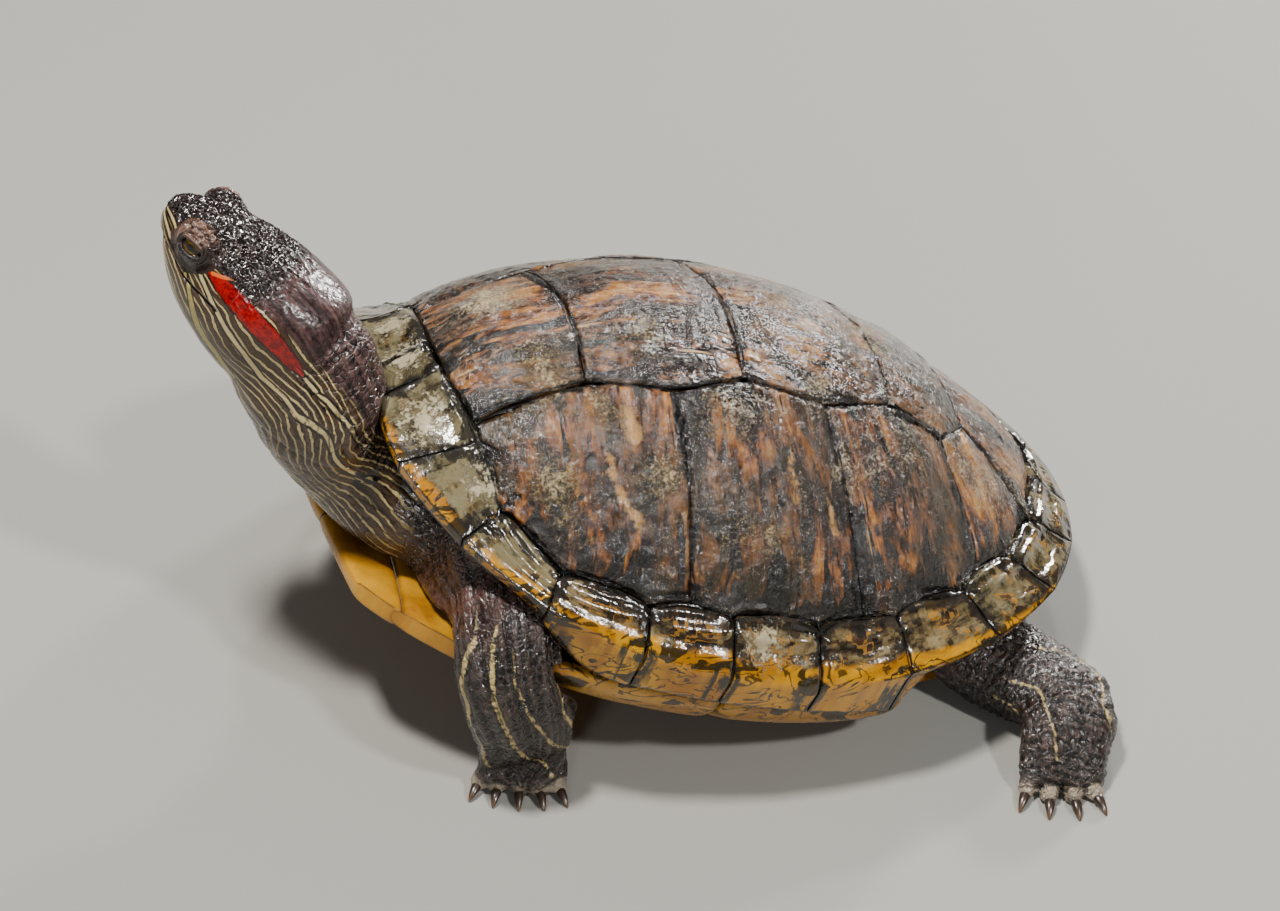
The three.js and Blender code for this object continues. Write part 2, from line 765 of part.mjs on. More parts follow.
// Headings are angles on the floor: 180 points forwards, 90 straight out to the side.
const frontLegs = {
  left: {
    stations: [
      { at: point(40, 30, 3), width: 12, depth: 11 },
      { at: point(34, 44, -3), width: 13, depth: 11 },
      { at: point(35, 54, -13), width: 13.5, depth: 9.5 },
      { at: point(42, 57, -25), width: 12.5, depth: 7.5 },
      { at: fromFloor(36.5, 54.5, 9.5), width: 11, depth: 6 },
      { at: fromFloor(36, 57, 4.4), width: 11.5, depth: 4.8 },
      { at: fromFloor(34.5, 60.5, 2.3), width: 11, depth: 2.8 },
    ],
    broad: point(1, 0, 0.25),
    partAt: 8,
    toes: 5,
    heading: 108,
    fan: 24,
    toeRoot: { x: 35.5, y: 56.5, height: 1.9, spread: 8 },
    toeLength: 6.5,
    toeGirth: 2.4,
    claw: 5,
  },
  right: {
    stations: [
      { at: point(40, 30, 3), width: 12, depth: 11 },
      { at: point(36, 46, -3), width: 12.5, depth: 11 },
      { at: point(41, 58, -12), width: 12.5, depth: 9.5 },
      { at: point(50, 64, -23), width: 11.5, depth: 7.5 },
      { at: fromFloor(46, 66, 9.5), width: 10.5, depth: 6 },
      { at: fromFloor(42, 69, 4.4), width: 11, depth: 4.8 },
      { at: fromFloor(37, 72, 2.3), width: 11, depth: 2.8 },
    ],
    broad: point(1, 0.3, 0.2),
    partAt: 8,
    toes: 5,
    heading: 145,
    fan: 30,
    toeRoot: { x: 39, y: 70.5, height: 1.9, spread: 8 },
    toeLength: 7,
    toeGirth: 2.4,
    claw: 5,
  },
};

const hindLegs = {
  left: {
    stations: [
      { at: point(146, 30, 3), width: 13, depth: 11 },
      { at: point(156, 41, -3), width: 13, depth: 10 },
      { at: point(168, 54, -5), width: 12.5, depth: 9.5 },
      { at: point(178, 69, -3.5), width: 12.5, depth: 9 },
      { at: fromFloor(167, 80, 9), width: 11.5, depth: 7 },
      { at: fromFloor(164, 86, 4.8), width: 11.5, depth: 5.2 },
      { at: fromFloor(162, 90.5, 2.4), width: 10.5, depth: 2.9 },
    ],
    broad: point(1, 0.1, 0.2),
    partAt: 8,
    toes: 4,
    heading: 106,
    fan: 22,
    toeRoot: { x: 162.5, y: 88, height: 1.9, spread: 7 },
    toeLength: 7.5,
    toeGirth: 2.7,
    claw: 5,
  },
  right: {
    stations: [
      { at: point(146, 30, 3), width: 12, depth: 10 },
      { at: point(157, 44, -1), width: 12, depth: 9.5 },
      { at: point(167, 58, -1), width: 11.5, depth: 9 },
      { at: fromFloor(165, 68, 12), width: 11, depth: 7.5 },
      { at: fromFloor(158, 74, 7), width: 10.5, depth: 5.5 },
      { at: fromFloor(152, 78, 4.4), width: 10.5, depth: 4.8 },
      { at: fromFloor(146.5, 82, 2.3), width: 10.5, depth: 2.8 },
    ],
    broad: point(0.8, 0.6, 0.2),
    partAt: 8,
    toes: 4,
    heading: 145,
    fan: 26,
    toeRoot: { x: 148.5, y: 80.5, height: 1.9, spread: 7 },
    toeLength: 7,
    toeGirth: 2.5,
    claw: 5,
  },
};

// ---------------------------------------------------------------- the list of parts

const parts = [];

function add(name, geometry, colour, roughness) {
  parts.push({ name, geometry, colour, roughness });
}

const shellBrown = 0x6b4326;
const marginOlive = 0x4a4229;
const plastronYellow = 0xd8941f;

add('nuchal', loft(nuchalSections()), marginOlive, 0.3);
for (const index of steps(4).keys()) {
  add(`vertebral_${index + 1}`, vertebral(index), shellBrown, 0.35);
}
for (const [word, side] of [['left', -1], ['right', 1]]) {
  for (const index of steps(3).keys()) {
    add(`costal_${word}_${index + 1}`, costal(index, side), shellBrown, 0.35);
  }
  for (const index of steps(11).keys()) {
    add(`marginal_${word}_${index + 1}`, marginal(index, side), marginOlive, 0.3);
  }
}
plastronNames.forEach((name, index) => {
  const scutes = cutBack(plastronPair(index), [floorBlock]);
  add(`plastron_${name}`, scutes, plastronYellow, 0.45);
});

const skinDark = 0x3b2f2c;
const [skull, jaw] = headAndJaw();
add('trunk', trunk(0), 0x6a4a40, 0.6);
add('neck', neck(), 0x4d4630, 0.5);
add('head', skull, 0x35302f, 0.35);
add('lower_jaw', jaw, 0x6b6a3a, 0.5);
add('eye_left', eye(-1), 0x8a6a2a, 0.1);
add('eye_right', eye(1), 0x8a6a2a, 0.1);
add('tail', tail(), skinDark, 0.55);
for (const [word, side] of [['left', -1], ['right', 1]]) {
  const [frontUpper, frontFoot] = leg({ ...frontLegs[word], side });
  const [hindUpper, hindFoot] = leg({ ...hindLegs[word], side });
  add(`front_leg_${word}`, frontUpper, skinDark, 0.5);
  add(`front_foot_${word}`, frontFoot, skinDark, 0.5);
  add(`hind_leg_${word}`, hindUpper, skinDark, 0.55);
  add(`hind_foot_${word}`, hindFoot, skinDark, 0.55);
}

// ---------------------------------------------------------------- stance

const turtle = new THREE.Group();
turtle.name = 'red_eared_slider';

for (const { name, geometry, colour, roughness } of parts) {
  const material = new THREE.MeshStandardMaterial({ color: colour, roughness, metalness: 0 });
  const mesh = new THREE.Mesh(geometry.applyMatrix4(stance), material);
  mesh.name = name;
  turtle.add(mesh);
}

const bounds = new THREE.Box3().setFromObject(turtle);
turtle.position.set(
  -(bounds.min.x + bounds.max.x) / 2,
  -(bounds.min.y + bounds.max.y) / 2,
  -floorLevel,
);

export default turtle;
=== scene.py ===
# %% [markdown]
# # A red-eared slider turtle, dressed
# The solids of the animal are already packed as a frame in real size. This lesson gives them
# their looks: horn plates with growth rings, one wet wrinkled skin over all the flesh, moist
# eyes and curved claws. Lengths in the named values are millimetres, apart from the places of
# the camera and the lamps. Blender works in metres, so `mm` turns one into the other.

# %% Load the frame
import json
import math
from contextlib import contextmanager
import bmesh
import bpy
import numpy as np
from mathutils import Matrix, Quaternion, Vector, kdtree, noise

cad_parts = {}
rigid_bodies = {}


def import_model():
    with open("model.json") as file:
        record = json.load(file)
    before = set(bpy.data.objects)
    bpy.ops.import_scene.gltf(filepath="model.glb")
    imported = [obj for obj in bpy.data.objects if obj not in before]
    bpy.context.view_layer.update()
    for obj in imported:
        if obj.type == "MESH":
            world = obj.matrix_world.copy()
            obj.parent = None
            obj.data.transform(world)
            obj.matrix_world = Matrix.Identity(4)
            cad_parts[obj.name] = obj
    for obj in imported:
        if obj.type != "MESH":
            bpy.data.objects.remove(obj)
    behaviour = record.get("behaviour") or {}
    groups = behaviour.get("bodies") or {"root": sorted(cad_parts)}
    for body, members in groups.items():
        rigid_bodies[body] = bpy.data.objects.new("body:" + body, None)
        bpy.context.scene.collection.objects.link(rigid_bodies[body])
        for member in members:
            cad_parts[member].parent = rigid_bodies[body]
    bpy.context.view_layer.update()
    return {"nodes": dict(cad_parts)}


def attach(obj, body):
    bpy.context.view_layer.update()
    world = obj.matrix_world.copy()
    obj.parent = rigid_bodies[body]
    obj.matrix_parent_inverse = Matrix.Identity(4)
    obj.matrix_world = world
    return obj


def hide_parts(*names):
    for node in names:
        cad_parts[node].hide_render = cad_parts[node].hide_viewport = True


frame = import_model()
mm = 0.001
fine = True
scene = bpy.context.scene

# %% [markdown]
# ## Camera
# A portrait lens looks down from the animal's left, a little in front. A small roll about its
# own line of sight tilts the horizon.

# %% Place the camera
camera_place = Vector((-0.30088, -0.59889, 0.58163))
camera_aim = Vector((-0.00019, 0.0028, 0.0458))
camera_roll = math.radians(9.45)
lens_length = 100
sensor_width = 36


def turned_towards(place, aim):
    return (Vector(aim) - Vector(place)).to_track_quat("-Z", "Y")


lens_data = bpy.data.cameras.new("portrait lens")
lens_data.lens = lens_length
lens_data.sensor_width = sensor_width
camera = bpy.data.objects.new("camera", lens_data)
scene.collection.objects.link(camera)
camera.rotation_mode = "QUATERNION"
camera.rotation_quaternion = turned_towards(camera_place, camera_aim) @ Quaternion((0, 0, 1), camera_roll)
camera.location = camera_place
scene.camera = camera
print("camera looks down by", round(math.degrees(math.asin((camera_place - camera_aim).normalized().z)), 1))

# %% [markdown]
# ## Light
# A wet animal is read by its reflections. Small lamps leave bright glints on every ridge that
# mirrors one of them, and a weaker one near the camera fills the flank. The sky is brighter
# overhead than at the horizon, so that no haze lies on the wet outline.

# %% Light the set
# Each lamp has a place, the height that it aims at over the middle of the floor, the side of
# its square, its watts and its colour.
lamps = {
    "key light": ((-0.38, 0.05, 1.15), 0.05, 0.14, 24, (1, 0.96, 0.9)),
    "top lamp": ((0.42, 0.78, 0.95), 0.08, 0.10, 5, (1, 0.98, 0.95)),
    "fill lamp": ((-0.75, -0.95, 0.60), 0.05, 0.20, 3.5, (0.96, 0.98, 1)),
    "side lamp": ((0.42, -0.75, 1.0), 0.05, 0.10, 12, (1, 0.98, 0.95)),
    "rear lamp": ((0.85, 0.62, 0.42), 0.06, 0.12, 11, (1, 0.98, 0.95))}
sky_colour = (0.80, 0.83, 0.86, 1)
horizon_height, zenith_height = 0.15, 1.0
horizon_strength, zenith_strength = 0.02, 0.24

for name, (place, aim_height, size, watts, colour) in lamps.items():
    data = bpy.data.lights.new(name, "AREA")
    data.shape = "SQUARE"
    data.size = size
    data.energy = watts
    data.color = colour
    lamp = bpy.data.objects.new(name, data)
    scene.collection.objects.link(lamp)
    lamp.location = place
    lamp.rotation_mode = "QUATERNION"
    lamp.rotation_quaternion = turned_towards(place, (0, 0, aim_height))
world = bpy.data.worlds.new("studio air")
world.use_nodes = True
sky = world.node_tree
direction = sky.nodes.new("ShaderNodeTexCoord")
parts = sky.nodes.new("ShaderNodeSeparateXYZ")
brightness = sky.nodes.new("ShaderNodeMapRange")
limits = (horizon_height, zenith_height, horizon_strength, zenith_strength)
for socket, value in zip(brightness.inputs[1:5], limits):
    socket.default_value = value
sky.links.new(direction.outputs["Generated"], parts.inputs[0])
sky.links.new(parts.outputs[2], brightness.inputs[0])
sky.nodes["Background"].inputs["Color"].default_value = sky_colour
sky.links.new(brightness.outputs[0], sky.nodes["Background"].inputs["Strength"])
scene.world = world

# %% [markdown]
# ## Words for materials
# Every finish below is a small network of nodes, and two classes let it read like a recipe.
# A `Finish` is a material, which makes noise or reads a field of the mesh. A `Tone` is one
# value or colour in it: tones can be added and multiplied, brought into a range with
# `between`, and used as a share that blends two colours.

# %% Tones and finishes
class Tone:
    def __init__(self, finish, socket):
        self.finish = finish
        self.socket = socket

    def calculate(self, operation, **inputs):
        return self.finish.node("ShaderNodeMath", {"operation": operation}, i0=self, **inputs)

    def __add__(self, other):
        return self.calculate("ADD", i1=other)

    def __sub__(self, other):
        return self.calculate("SUBTRACT", i1=other)

    def __mul__(self, other):
        return self.calculate("MULTIPLY", i1=other)

    def __abs__(self):
        return self.calculate("ABSOLUTE")

    def maximum(self, other):
        return self.calculate("MAXIMUM", i1=other)

    def parts(self):
        return [self.finish.node("ShaderNodeSeparateXYZ", output=axis, i0=self) for axis in range(3)]

    def between(self, low, high, start=0.0, end=1.0):
        """Goes smoothly from start to end while this value goes from low to high."""
        settings = {"interpolation_type": "SMOOTHSTEP"}
        return self.finish.node("ShaderNodeMapRange", settings, i0=self, i1=low, i2=high, i3=start, i4=end)

    def blend(self, first, second):
        """The first colour where this share is 0, the second where it is 1."""
        return self.finish.node("ShaderNodeMix", {"data_type": "RGBA"}, 2, i0=self, i6=first, i7=second)

    def colours(self, *steps):
        tone = self.finish.node("ShaderNodeValToRGB", i0=self)
        elements = tone.socket.node.color_ramp.elements
        while len(elements) < len(steps):
            elements.new(0.5)
        for element, (place, colour) in zip(elements, steps):
            element.position = place
            element.color = (*colour, 1)
        return tone


class Finish:
    def __init__(self, name):
        self.material = bpy.data.materials.new(name)
        self.material.use_nodes = True
        self.tree = self.material.node_tree
        self.place = self.node("ShaderNodeTexCoord", output="Object")

    def feed(self, socket, value):
        if isinstance(value, Tone):
            self.tree.links.new(value.socket, socket)
        else:
            socket.default_value = (*value, 1) if socket.type == "RGBA" else value

    def node(self, kind, settings=(), output=0, **inputs):
        """A new node, whose inputs are named, or numbered as i0, i1 and so on."""
        node = self.tree.nodes.new(kind)
        for key, value in dict(settings).items():
            setattr(node, key, value)
        for key, value in inputs.items():
            self.feed(node.inputs[int(key[1:]) if key[1:].isdigit() else key], value)
        return Tone(self, node.outputs[output])

    def noise(self, vector, scale, detail=4.0, rough=0.6, warp=0.0, shift=(0, 0, 0)):
        """Cloudy noise. A scale of three numbers stretches it."""
        if isinstance(scale, tuple):
            vector = self.node("ShaderNodeMapping", Vector=vector, Scale=scale, Location=shift)
            scale = 1.0
        return self.node("ShaderNodeTexNoise", output="Fac", Vector=vector, Scale=scale, Detail=detail,
                         Roughness=rough, Distortion=warp)

    def grains(self, scale, detail=4.0, rough=0.6, warp=0.0):
        """Noise by the place on the piece, with so many grains to the metre."""
        return self.noise(self.place, scale, detail, rough, warp)

    def field(self, name, output="Fac"):
        return self.node("ShaderNodeAttribute", {"attribute_name": name}, output)

    def surface(self, **inputs):
        """Set or link what the surface takes: its colour, roughness, coat and so on."""
        for key, value in inputs.items():
            self.feed(self.tree.nodes["Principled BSDF"].inputs[key.replace("_", " ")], value)

    def relief(self, height, depth, strength=1.0):
        bump = self.node("ShaderNodeBump", Height=height, Distance=depth * mm, Strength=strength)
        self.surface(Normal=bump, Coat_Normal=bump)


print("words for materials are ready")

# %% [markdown]
# ## The shell's own measure
# The animal is tilted nose up, so the shell has a frame of its own: x from the front edge of
# the carapace to its rear edge, y to the animal's right, z up from the plane of its rim.

# %% Shell frame
shell_pitch = math.radians(14)
shell_origin = Vector((-81.6075, 2.7183, 55.5)) * mm
shell_turn = np.array(Matrix.Rotation(shell_pitch, 3, "Y"))


def read_vertices(piece, key):
    values = np.empty(len(piece.data.vertices) * 3, np.float32)
    piece.data.vertices.foreach_get(key, values)
    return values.reshape(-1, 3).astype(float)


def points_of(piece):
    return read_vertices(piece, "co")


def normals_of(piece):
    return read_vertices(piece, "normal")


def set_points(piece, points):
    piece.data.vertices.foreach_set("co", points.astype(np.float32).ravel())
    piece.data.update()


def in_shell(points):
    return (points - np.array(shell_origin)) @ shell_turn / mm


def lengths(ways):
    return np.linalg.norm(ways, axis=1)


def columns(*parts):
    """Several values for each point side by side; a single number stands for every point."""
    return np.stack(np.broadcast_arrays(*parts), 1)


def step(low, high, value):
    """A smooth step from 0 at low to 1 at high."""
    share = np.clip((value - low) / (high - low), 0, 1)
    return share * share * (3 - 2 * share)


def hump(value, centre, width, height=1.0):
    """A bell of the given height at the centre."""
    return height * np.exp(-((value - centre) / width) ** 2)


def write_fields(piece, **fields):
    for name, values in fields.items():
        kind, key = ("FLOAT_VECTOR", "vector") if np.ndim(values) == 2 else ("FLOAT", "value")
        layer = piece.data.attributes.new(name, kind, "POINT")
        layer.data.foreach_set(key, np.asarray(values, np.float32).ravel())


def rough_noise(points, size, octaves=3):
    """Noise from about -1 to 1 with patches of the given size."""
    falling_off, finer_by = 0.8, 2.1
    return np.array([noise.fractal(p, falling_off, finer_by, octaves) for p in (points / size).tolist()])


print("shell pitch", round(math.degrees(shell_pitch), 1))

# %% [markdown]
# ## From solid to horn plate
# A scute is a plate of horn with a crisp outline and a softly domed face. A copy of the
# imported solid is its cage: the doubles are merged, the outline is creased so that it keeps
# its place, and a Subdivision Surface modifier rounds the face.

# %% Copy a solid as a cage
def select_only(piece):
    for other in bpy.context.selected_objects:
        other.select_set(False)
    piece.select_set(True)
    bpy.context.view_layer.objects.active = piece


@contextmanager
def edit_mode(piece, choice="SELECT"):
    """Edit mode on one piece, with its whole mesh selected or, by DESELECT, none of it."""
    select_only(piece)
    bpy.ops.object.mode_set(mode="EDIT")
    bpy.ops.mesh.select_all(action=choice)
    yield
    bpy.ops.object.mode_set(mode="OBJECT")


@contextmanager
def only_points(piece, marked):
    """Edit mode on one piece, with only the marked points selected."""
    with edit_mode(piece, "DESELECT"):
        bpy.ops.mesh.select_mode(type="VERT")
    piece.data.vertices.foreach_set("select", marked)
    piece.data.update()
    bpy.ops.object.mode_set(mode="EDIT")
    yield
    bpy.ops.object.mode_set(mode="OBJECT")


def cage_of(node, name):
    piece = bpy.data.objects.new(name, frame["nodes"][node].data.copy())
    scene.collection.objects.link(piece)
    piece.data.materials.clear()
    select_only(piece)
    if piece.data.has_custom_normals:
        bpy.ops.mesh.customdata_custom_splitnormals_clear()
    with edit_mode(piece):
        bpy.ops.mesh.remove_doubles(threshold=0.02 * mm)
    return piece


def sharp_edges(shape, degrees):
    return [edge for edge in shape.edges if edge.calc_face_angle(0) > math.radians(degrees)]


def crease_outline(piece, degrees, crease):
    """Crease the sharp edges and the corners where three or more of them meet."""
    shape = bmesh.new()
    shape.from_mesh(piece.data)
    edge_layer = shape.edges.layers.float.new("crease_edge")
    corner_layer = shape.verts.layers.float.new("crease_vert")
    for edge in sharp_edges(shape, degrees):
        edge[edge_layer] = crease
    for corner in shape.verts:
        if sum(edge[edge_layer] > 0 for edge in corner.link_edges) > 2:
            corner[corner_layer] = crease
    shape.to_mesh(piece.data)
    shape.free()


def apply_modifier(piece, kind, **settings):
    select_only(piece)
    modifier = piece.modifiers.new(kind.title(), kind)
    for key, value in settings.items():
        setattr(modifier, key, value)
    bpy.ops.object.modifier_apply(modifier=modifier.name)


def plate_of(node, sharp, levels, crease=1.0):
    """A rounded plate, creased wherever an edge of the solid is sharper than the degrees given."""
    piece = cage_of(node, "scute_" + node)
    with edit_mode(piece):
        bpy.ops.mesh.tris_convert_to_quads(face_threshold=math.radians(35), shape_threshold=math.radians(70))
    crease_outline(piece, sharp, crease)
    apply_modifier(piece, "SUBSURF", levels=levels, render_levels=levels)
    return piece


def nodes_named(*starts):
    return sorted(n for n in frame["nodes"] if n.startswith(starts))


print("scutes to make", len(nodes_named("vertebral", "costal", "marginal", "nuchal", "plastron")))

# %% [markdown]
# ## How far from the rim
# Horn grows outwards, so its rings run parallel to the outline, and dirt gathers in the
# seams. Both need the distance to the outline, which is the nearest sharp edge of the plate.

# %% Measure the distance to the outline
def distance_to_rim(piece, degrees):
    shape = bmesh.new()
    shape.from_mesh(piece.data)
    outline = []
    for edge in sharp_edges(shape, degrees):
        a, b = (v.co for v in edge.verts)
        outline += [a.lerp(b, t) for t in (0.25, 0.75)]
    tree = kdtree.KDTree(len(outline))
    for index, place in enumerate(outline):
        tree.insert(place, index)
    tree.balance()
    distance = np.array([tree.find(v.co)[2] for v in shape.verts]) / mm
    shape.free()
    return distance


# The dome and skin finishes darken points by this measure as painted shade, and lighten convex points as
# painted highlight.
def hollow_of(piece, depth=0.12):
    """How far each point lies below its neighbours, in shares of a depth in millimetres."""
    points = points_of(piece) / mm
    ends = np.empty(len(piece.data.edges) * 2, np.int32)
    piece.data.edges.foreach_get("vertices", ends)
    ends = ends.reshape(-1, 2)
    total = np.zeros_like(points)
    count = np.zeros(len(points))
    for a, b in ((0, 1), (1, 0)):
        np.add.at(total, ends[:, a], points[ends[:, b]])
        np.add.at(count, ends[:, a], 1)
    rise = ((total / count[:, None] - points) * normals_of(piece)).sum(1)
    return np.clip(rise / depth, -1, 1)


# %% [markdown]
# ## The scalloped margin
# Where the marginals meet the dome, each one bulges a little over the scute above it, so the
# seam is a row of shallow arches. The plates on both sides of it are moved by the same
# amount, which keeps the groove narrow. A slow sway takes the straightness out of all seams.

# %% Bend the margin's inner seam into arches
seam_places = np.array([[17, 5], [21.5, 25.5], [25, 39.5], [38, 52.5], [59, 60], [80, 63.5], [102, 65],
                        [124, 63], [145.5, 55], [164, 43.5], [177, 29.5], [186.5, 13], [188.5, 0]])
rim_angles = (2, 15.6, 31.5, 47.4, 62.4, 74.6, 86.9, 101.4, 119.3, 138.1, 155, 168.5, 180)
rim_middle = 109.6
rim_half_length = {"front": 109.6, "rear": 90.4}
rim_bluntness = {"front": 0.82, "rear": 1.04}
rim_half_width = 73.8
arch_height = 2.5
arch_lift = 0.45
arch_reach = 7.0
arch_start, arch_end, arch_bluntness = (0.8, 1.6), (11.0, 11.7), 0.7
shell_middle, inwards_slant = 100, 0.25
seam_sway, seam_sway_size = 2.2, 13.0


def curve_through(places, beyond, steps_between):
    """A smooth curve through the places, and how many places each of its points has passed."""
    ends = np.vstack([places[0] * 2 - places[1], places, beyond])
    curve, passed = [], []
    for first in range(len(places) - 1):
        a, b, c, d = ends[first:first + 4]
        for t in np.arange(steps_between) / steps_between:
            curve.append(0.5 * (2 * b + (c - a) * t + (2 * a - 5 * b + 4 * c - d) * t ** 2
                                + (3 * b - a - 3 * c + d) * t ** 3))
            passed.append(first + t)
    return np.array(curve), np.array(passed)


seam_curve, seam_marginals = curve_through(seam_places, seam_places[-1], 16)


def plan_of(place):
    """Places on the shell seen from above, with the right half folded onto the left."""
    return columns(place[:, 0], np.abs(place[:, 1]))


def seam_count(plan):
    """The number of marginals passed at the nearest place of the seam, its distance and way."""
    away = plan[:, None, :] - seam_curve[None]
    distance = np.hypot(away[..., 0], away[..., 1])
    nearest = distance.argmin(1)
    rows = np.arange(len(plan))
    return seam_marginals[nearest], distance[rows, nearest], away[rows, nearest]


def rim_of_shell(count):
    """The outer edge of the margin in plan, at a count of marginals from the front."""
    angle = np.radians(np.interp(count, range(13), rim_angles))
    front = np.cos(angle) > 0
    half_length, power = (np.where(front, size["front"], size["rear"])
                          for size in (rim_half_length, rim_bluntness))
    side = rim_half_width * np.abs(np.sin(angle)) ** power
    return columns(rim_middle - half_length * np.cos(angle), side)


def arch_seam(piece):
    points, normals = points_of(piece), normals_of(piece)
    place = in_shell(points)
    plan = plan_of(place)
    count, distance, away = seam_count(plan)
    share = count - np.floor(count)
    arch = np.sin(np.pi * share) ** arch_bluntness * step(*arch_start, count) * (1 - step(*arch_end, count))
    pull = arch_height * arch * (1 - step(0, arch_reach, distance))
    inwards = columns((shell_middle - plan[:, 0]) * inwards_slant, -plan[:, 1])
    inwards /= lengths(inwards)[:, None] + 1e-9
    move = columns(inwards[:, 0], inwards[:, 1] * np.sign(place[:, 1]), arch_lift) * pull[:, None]
    sway = columns(*(rough_noise(place + shift, seam_sway_size, 1) for shift in (0, 31, 67)))
    sway *= seam_sway
    outside = (away * inwards).sum(1) < 0
    sway *= np.where(outside, 1 - step(0, arch_reach, distance), 1)[:, None]
    sway = sway @ shell_turn.T
    sway -= normals * (sway * normals).sum(1)[:, None]
    set_points(piece, points + (move @ shell_turn.T + sway) * mm)


print("seam points", len(seam_curve))

# %% [markdown]
# ## Dome scutes
# Vertebral and costal scutes get growth rings, broad dents and fine ridges as real shape.
# The grain runs from front to rear on the vertebrals and down the flank on the costals. The
# field `grain` counts millimetres across it, then along it. A worn spot is a place with a
# size, and a tan stroke runs from one place to another with a half width. Two angles in
# degrees find a plate's sharp edges: one on the solid, and one on its rounded copy.

# %% Model the dome
dome_levels = 4 if fine else 3
dome_solid_edge, dome_rim_edge = 45, 40
low_flank = (30, 62)
ring_spacing = 2.3
ring_wander = 2.2
ring_height = 0.06
dent_height, dent_size = 0.45, 26.0
wander_height, wander_size = 0.30, 7.0
line_height, line_size = 0.20, 1.6
lip_place, lip_width, lip_height = 1.3, 0.8, 0.22
seam_depth, seam_width = 0.25, 0.7
seam_closing = 1.005
costal_top = {"side": 22, "height": 58}
worn_spots = ((36, -17, 44, 15), (34, 12, 47, 16), (58, -12, 56, 9), (37, -38, 31, 15), (48, -28, 42, 10),
              (62, -40, 36, 9), (80, -30, 48, 12), (88, -52, 28, 9), (113, -38, 40, 13), (104, -22, 50, 9),
              (128, 4, 50, 14), (140, -22, 42, 10), (157, -29, 32, 15), (174, -25, 24, 12), (100, 2, 57, 10),
              (75, 25, 52, 14), (40, 40, 30, 14), (118, 45, 34, 14), (150, 20, 38, 14))
tan_strokes = (((53, -30, 43), (54, -34, 41), 2.4), ((48, -36, 37), (50, -42, 32), 0.9),
               ((50, -42, 32), (56, -49, 26), 1.3), ((93, -38, 42), (94, -46, 35), 0.8),
               ((103, -44, 36), (107, -52, 28), 0.8), ((70, 38, 42), (74, 50, 30), 1.2))


def grain_of(place, kind, seed):
    x, y, z = place.T
    if kind == "vertebral":
        return columns(y + 0.08 * x, x, seed)
    side = np.abs(y)
    fan = 0.3 * step(50, 150, x)
    down = np.hypot(side - costal_top["side"], np.maximum(0, costal_top["height"] - z))
    return columns(x - fan * (side - 24), down, seed)


def spot_field(place, spots):
    """A share from 1 in the middle of the nearest worn spot to 0 at its edge."""
    return np.max([1 - lengths(place - centre) / size for *centre, size in spots], 0).clip(0)


def gap_to_line(place, start, end):
    """The way to each place from the nearest point of a straight line."""
    way = end - start
    share = np.clip(((place - start) @ way) / (way @ way), 0, 1)
    return place - start - share[:, None] * way


def stroke_field(place, strokes):
    """Millimetres inside the nearest stroke; negative outside."""
    inside = np.full(len(place), -9.0)
    for start, end, half in strokes:
        gap = gap_to_line(place, np.array(start, float), np.array(end, float))
        inside = np.maximum(inside, half - lengths(gap))
    return inside


def carve_rings(piece, rim, grain):
    seed = grain[0, 2]
    streak = grain * np.array([1, 0.2, 1]) + (0, 0, seed * 13)
    wander = rough_noise(streak, wander_size)
    dents = rough_noise(grain + (0, 0, seed * 5), dent_size, 2)
    lines = rough_noise(streak, line_size, 2)
    rings = np.sin(2 * np.pi * (rim + ring_wander * wander) / ring_spacing)
    inner = step(0.8, 3.0, rim)
    broken = step(-0.1, 0.4, wander + lines)
    height = ring_height * rings * inner * step(-0.1, 0.5, dents + 0.3 * wander)
    height += (dent_height * dents + line_height * lines + wander_height * wander) * inner
    height += hump(rim, lip_place, lip_width, lip_height) * broken
    height -= seam_depth * (1 - step(0.0, seam_width, rim))
    set_points(piece, points_of(piece) + normals_of(piece) * (height * mm)[:, None])


dome_pieces = []
for number, node in enumerate(nodes_named("vertebral", "costal")):
    piece = plate_of(node, dome_solid_edge, dome_levels)
    arch_seam(piece)
    points = points_of(piece)
    centre = points.mean(0)
    set_points(piece, centre + (points - centre) * seam_closing)
    rim = distance_to_rim(piece, dome_rim_edge)
    place = in_shell(points_of(piece))
    grain = grain_of(place, node.split("_")[0], 3.7 * number)
    low = step(*low_flank, grain[:, 1]) if node.startswith("costal") else np.zeros(len(rim))
    write_fields(piece, grain=grain, rim=rim, low=low, worn_spot=spot_field(place, worn_spots),
                 stroke=stroke_field(place, tan_strokes))
    carve_rings(piece, rim, grain)
    write_fields(piece, hollow=hollow_of(piece))
    dome_pieces.append((piece, node))
print("dome faces", sum(len(p.data.polygons) for p, n in dome_pieces))

# %% [markdown]
# ## Marginal scutes
# Each plate of the margin has a rounded lip along the seam with the dome and rolls over the
# rim. `share` goes from 0 at the seam to 1 at the rim, and on beyond it on the under side.
# The horn turns yellow at a share that changes with the count of marginals from the front.

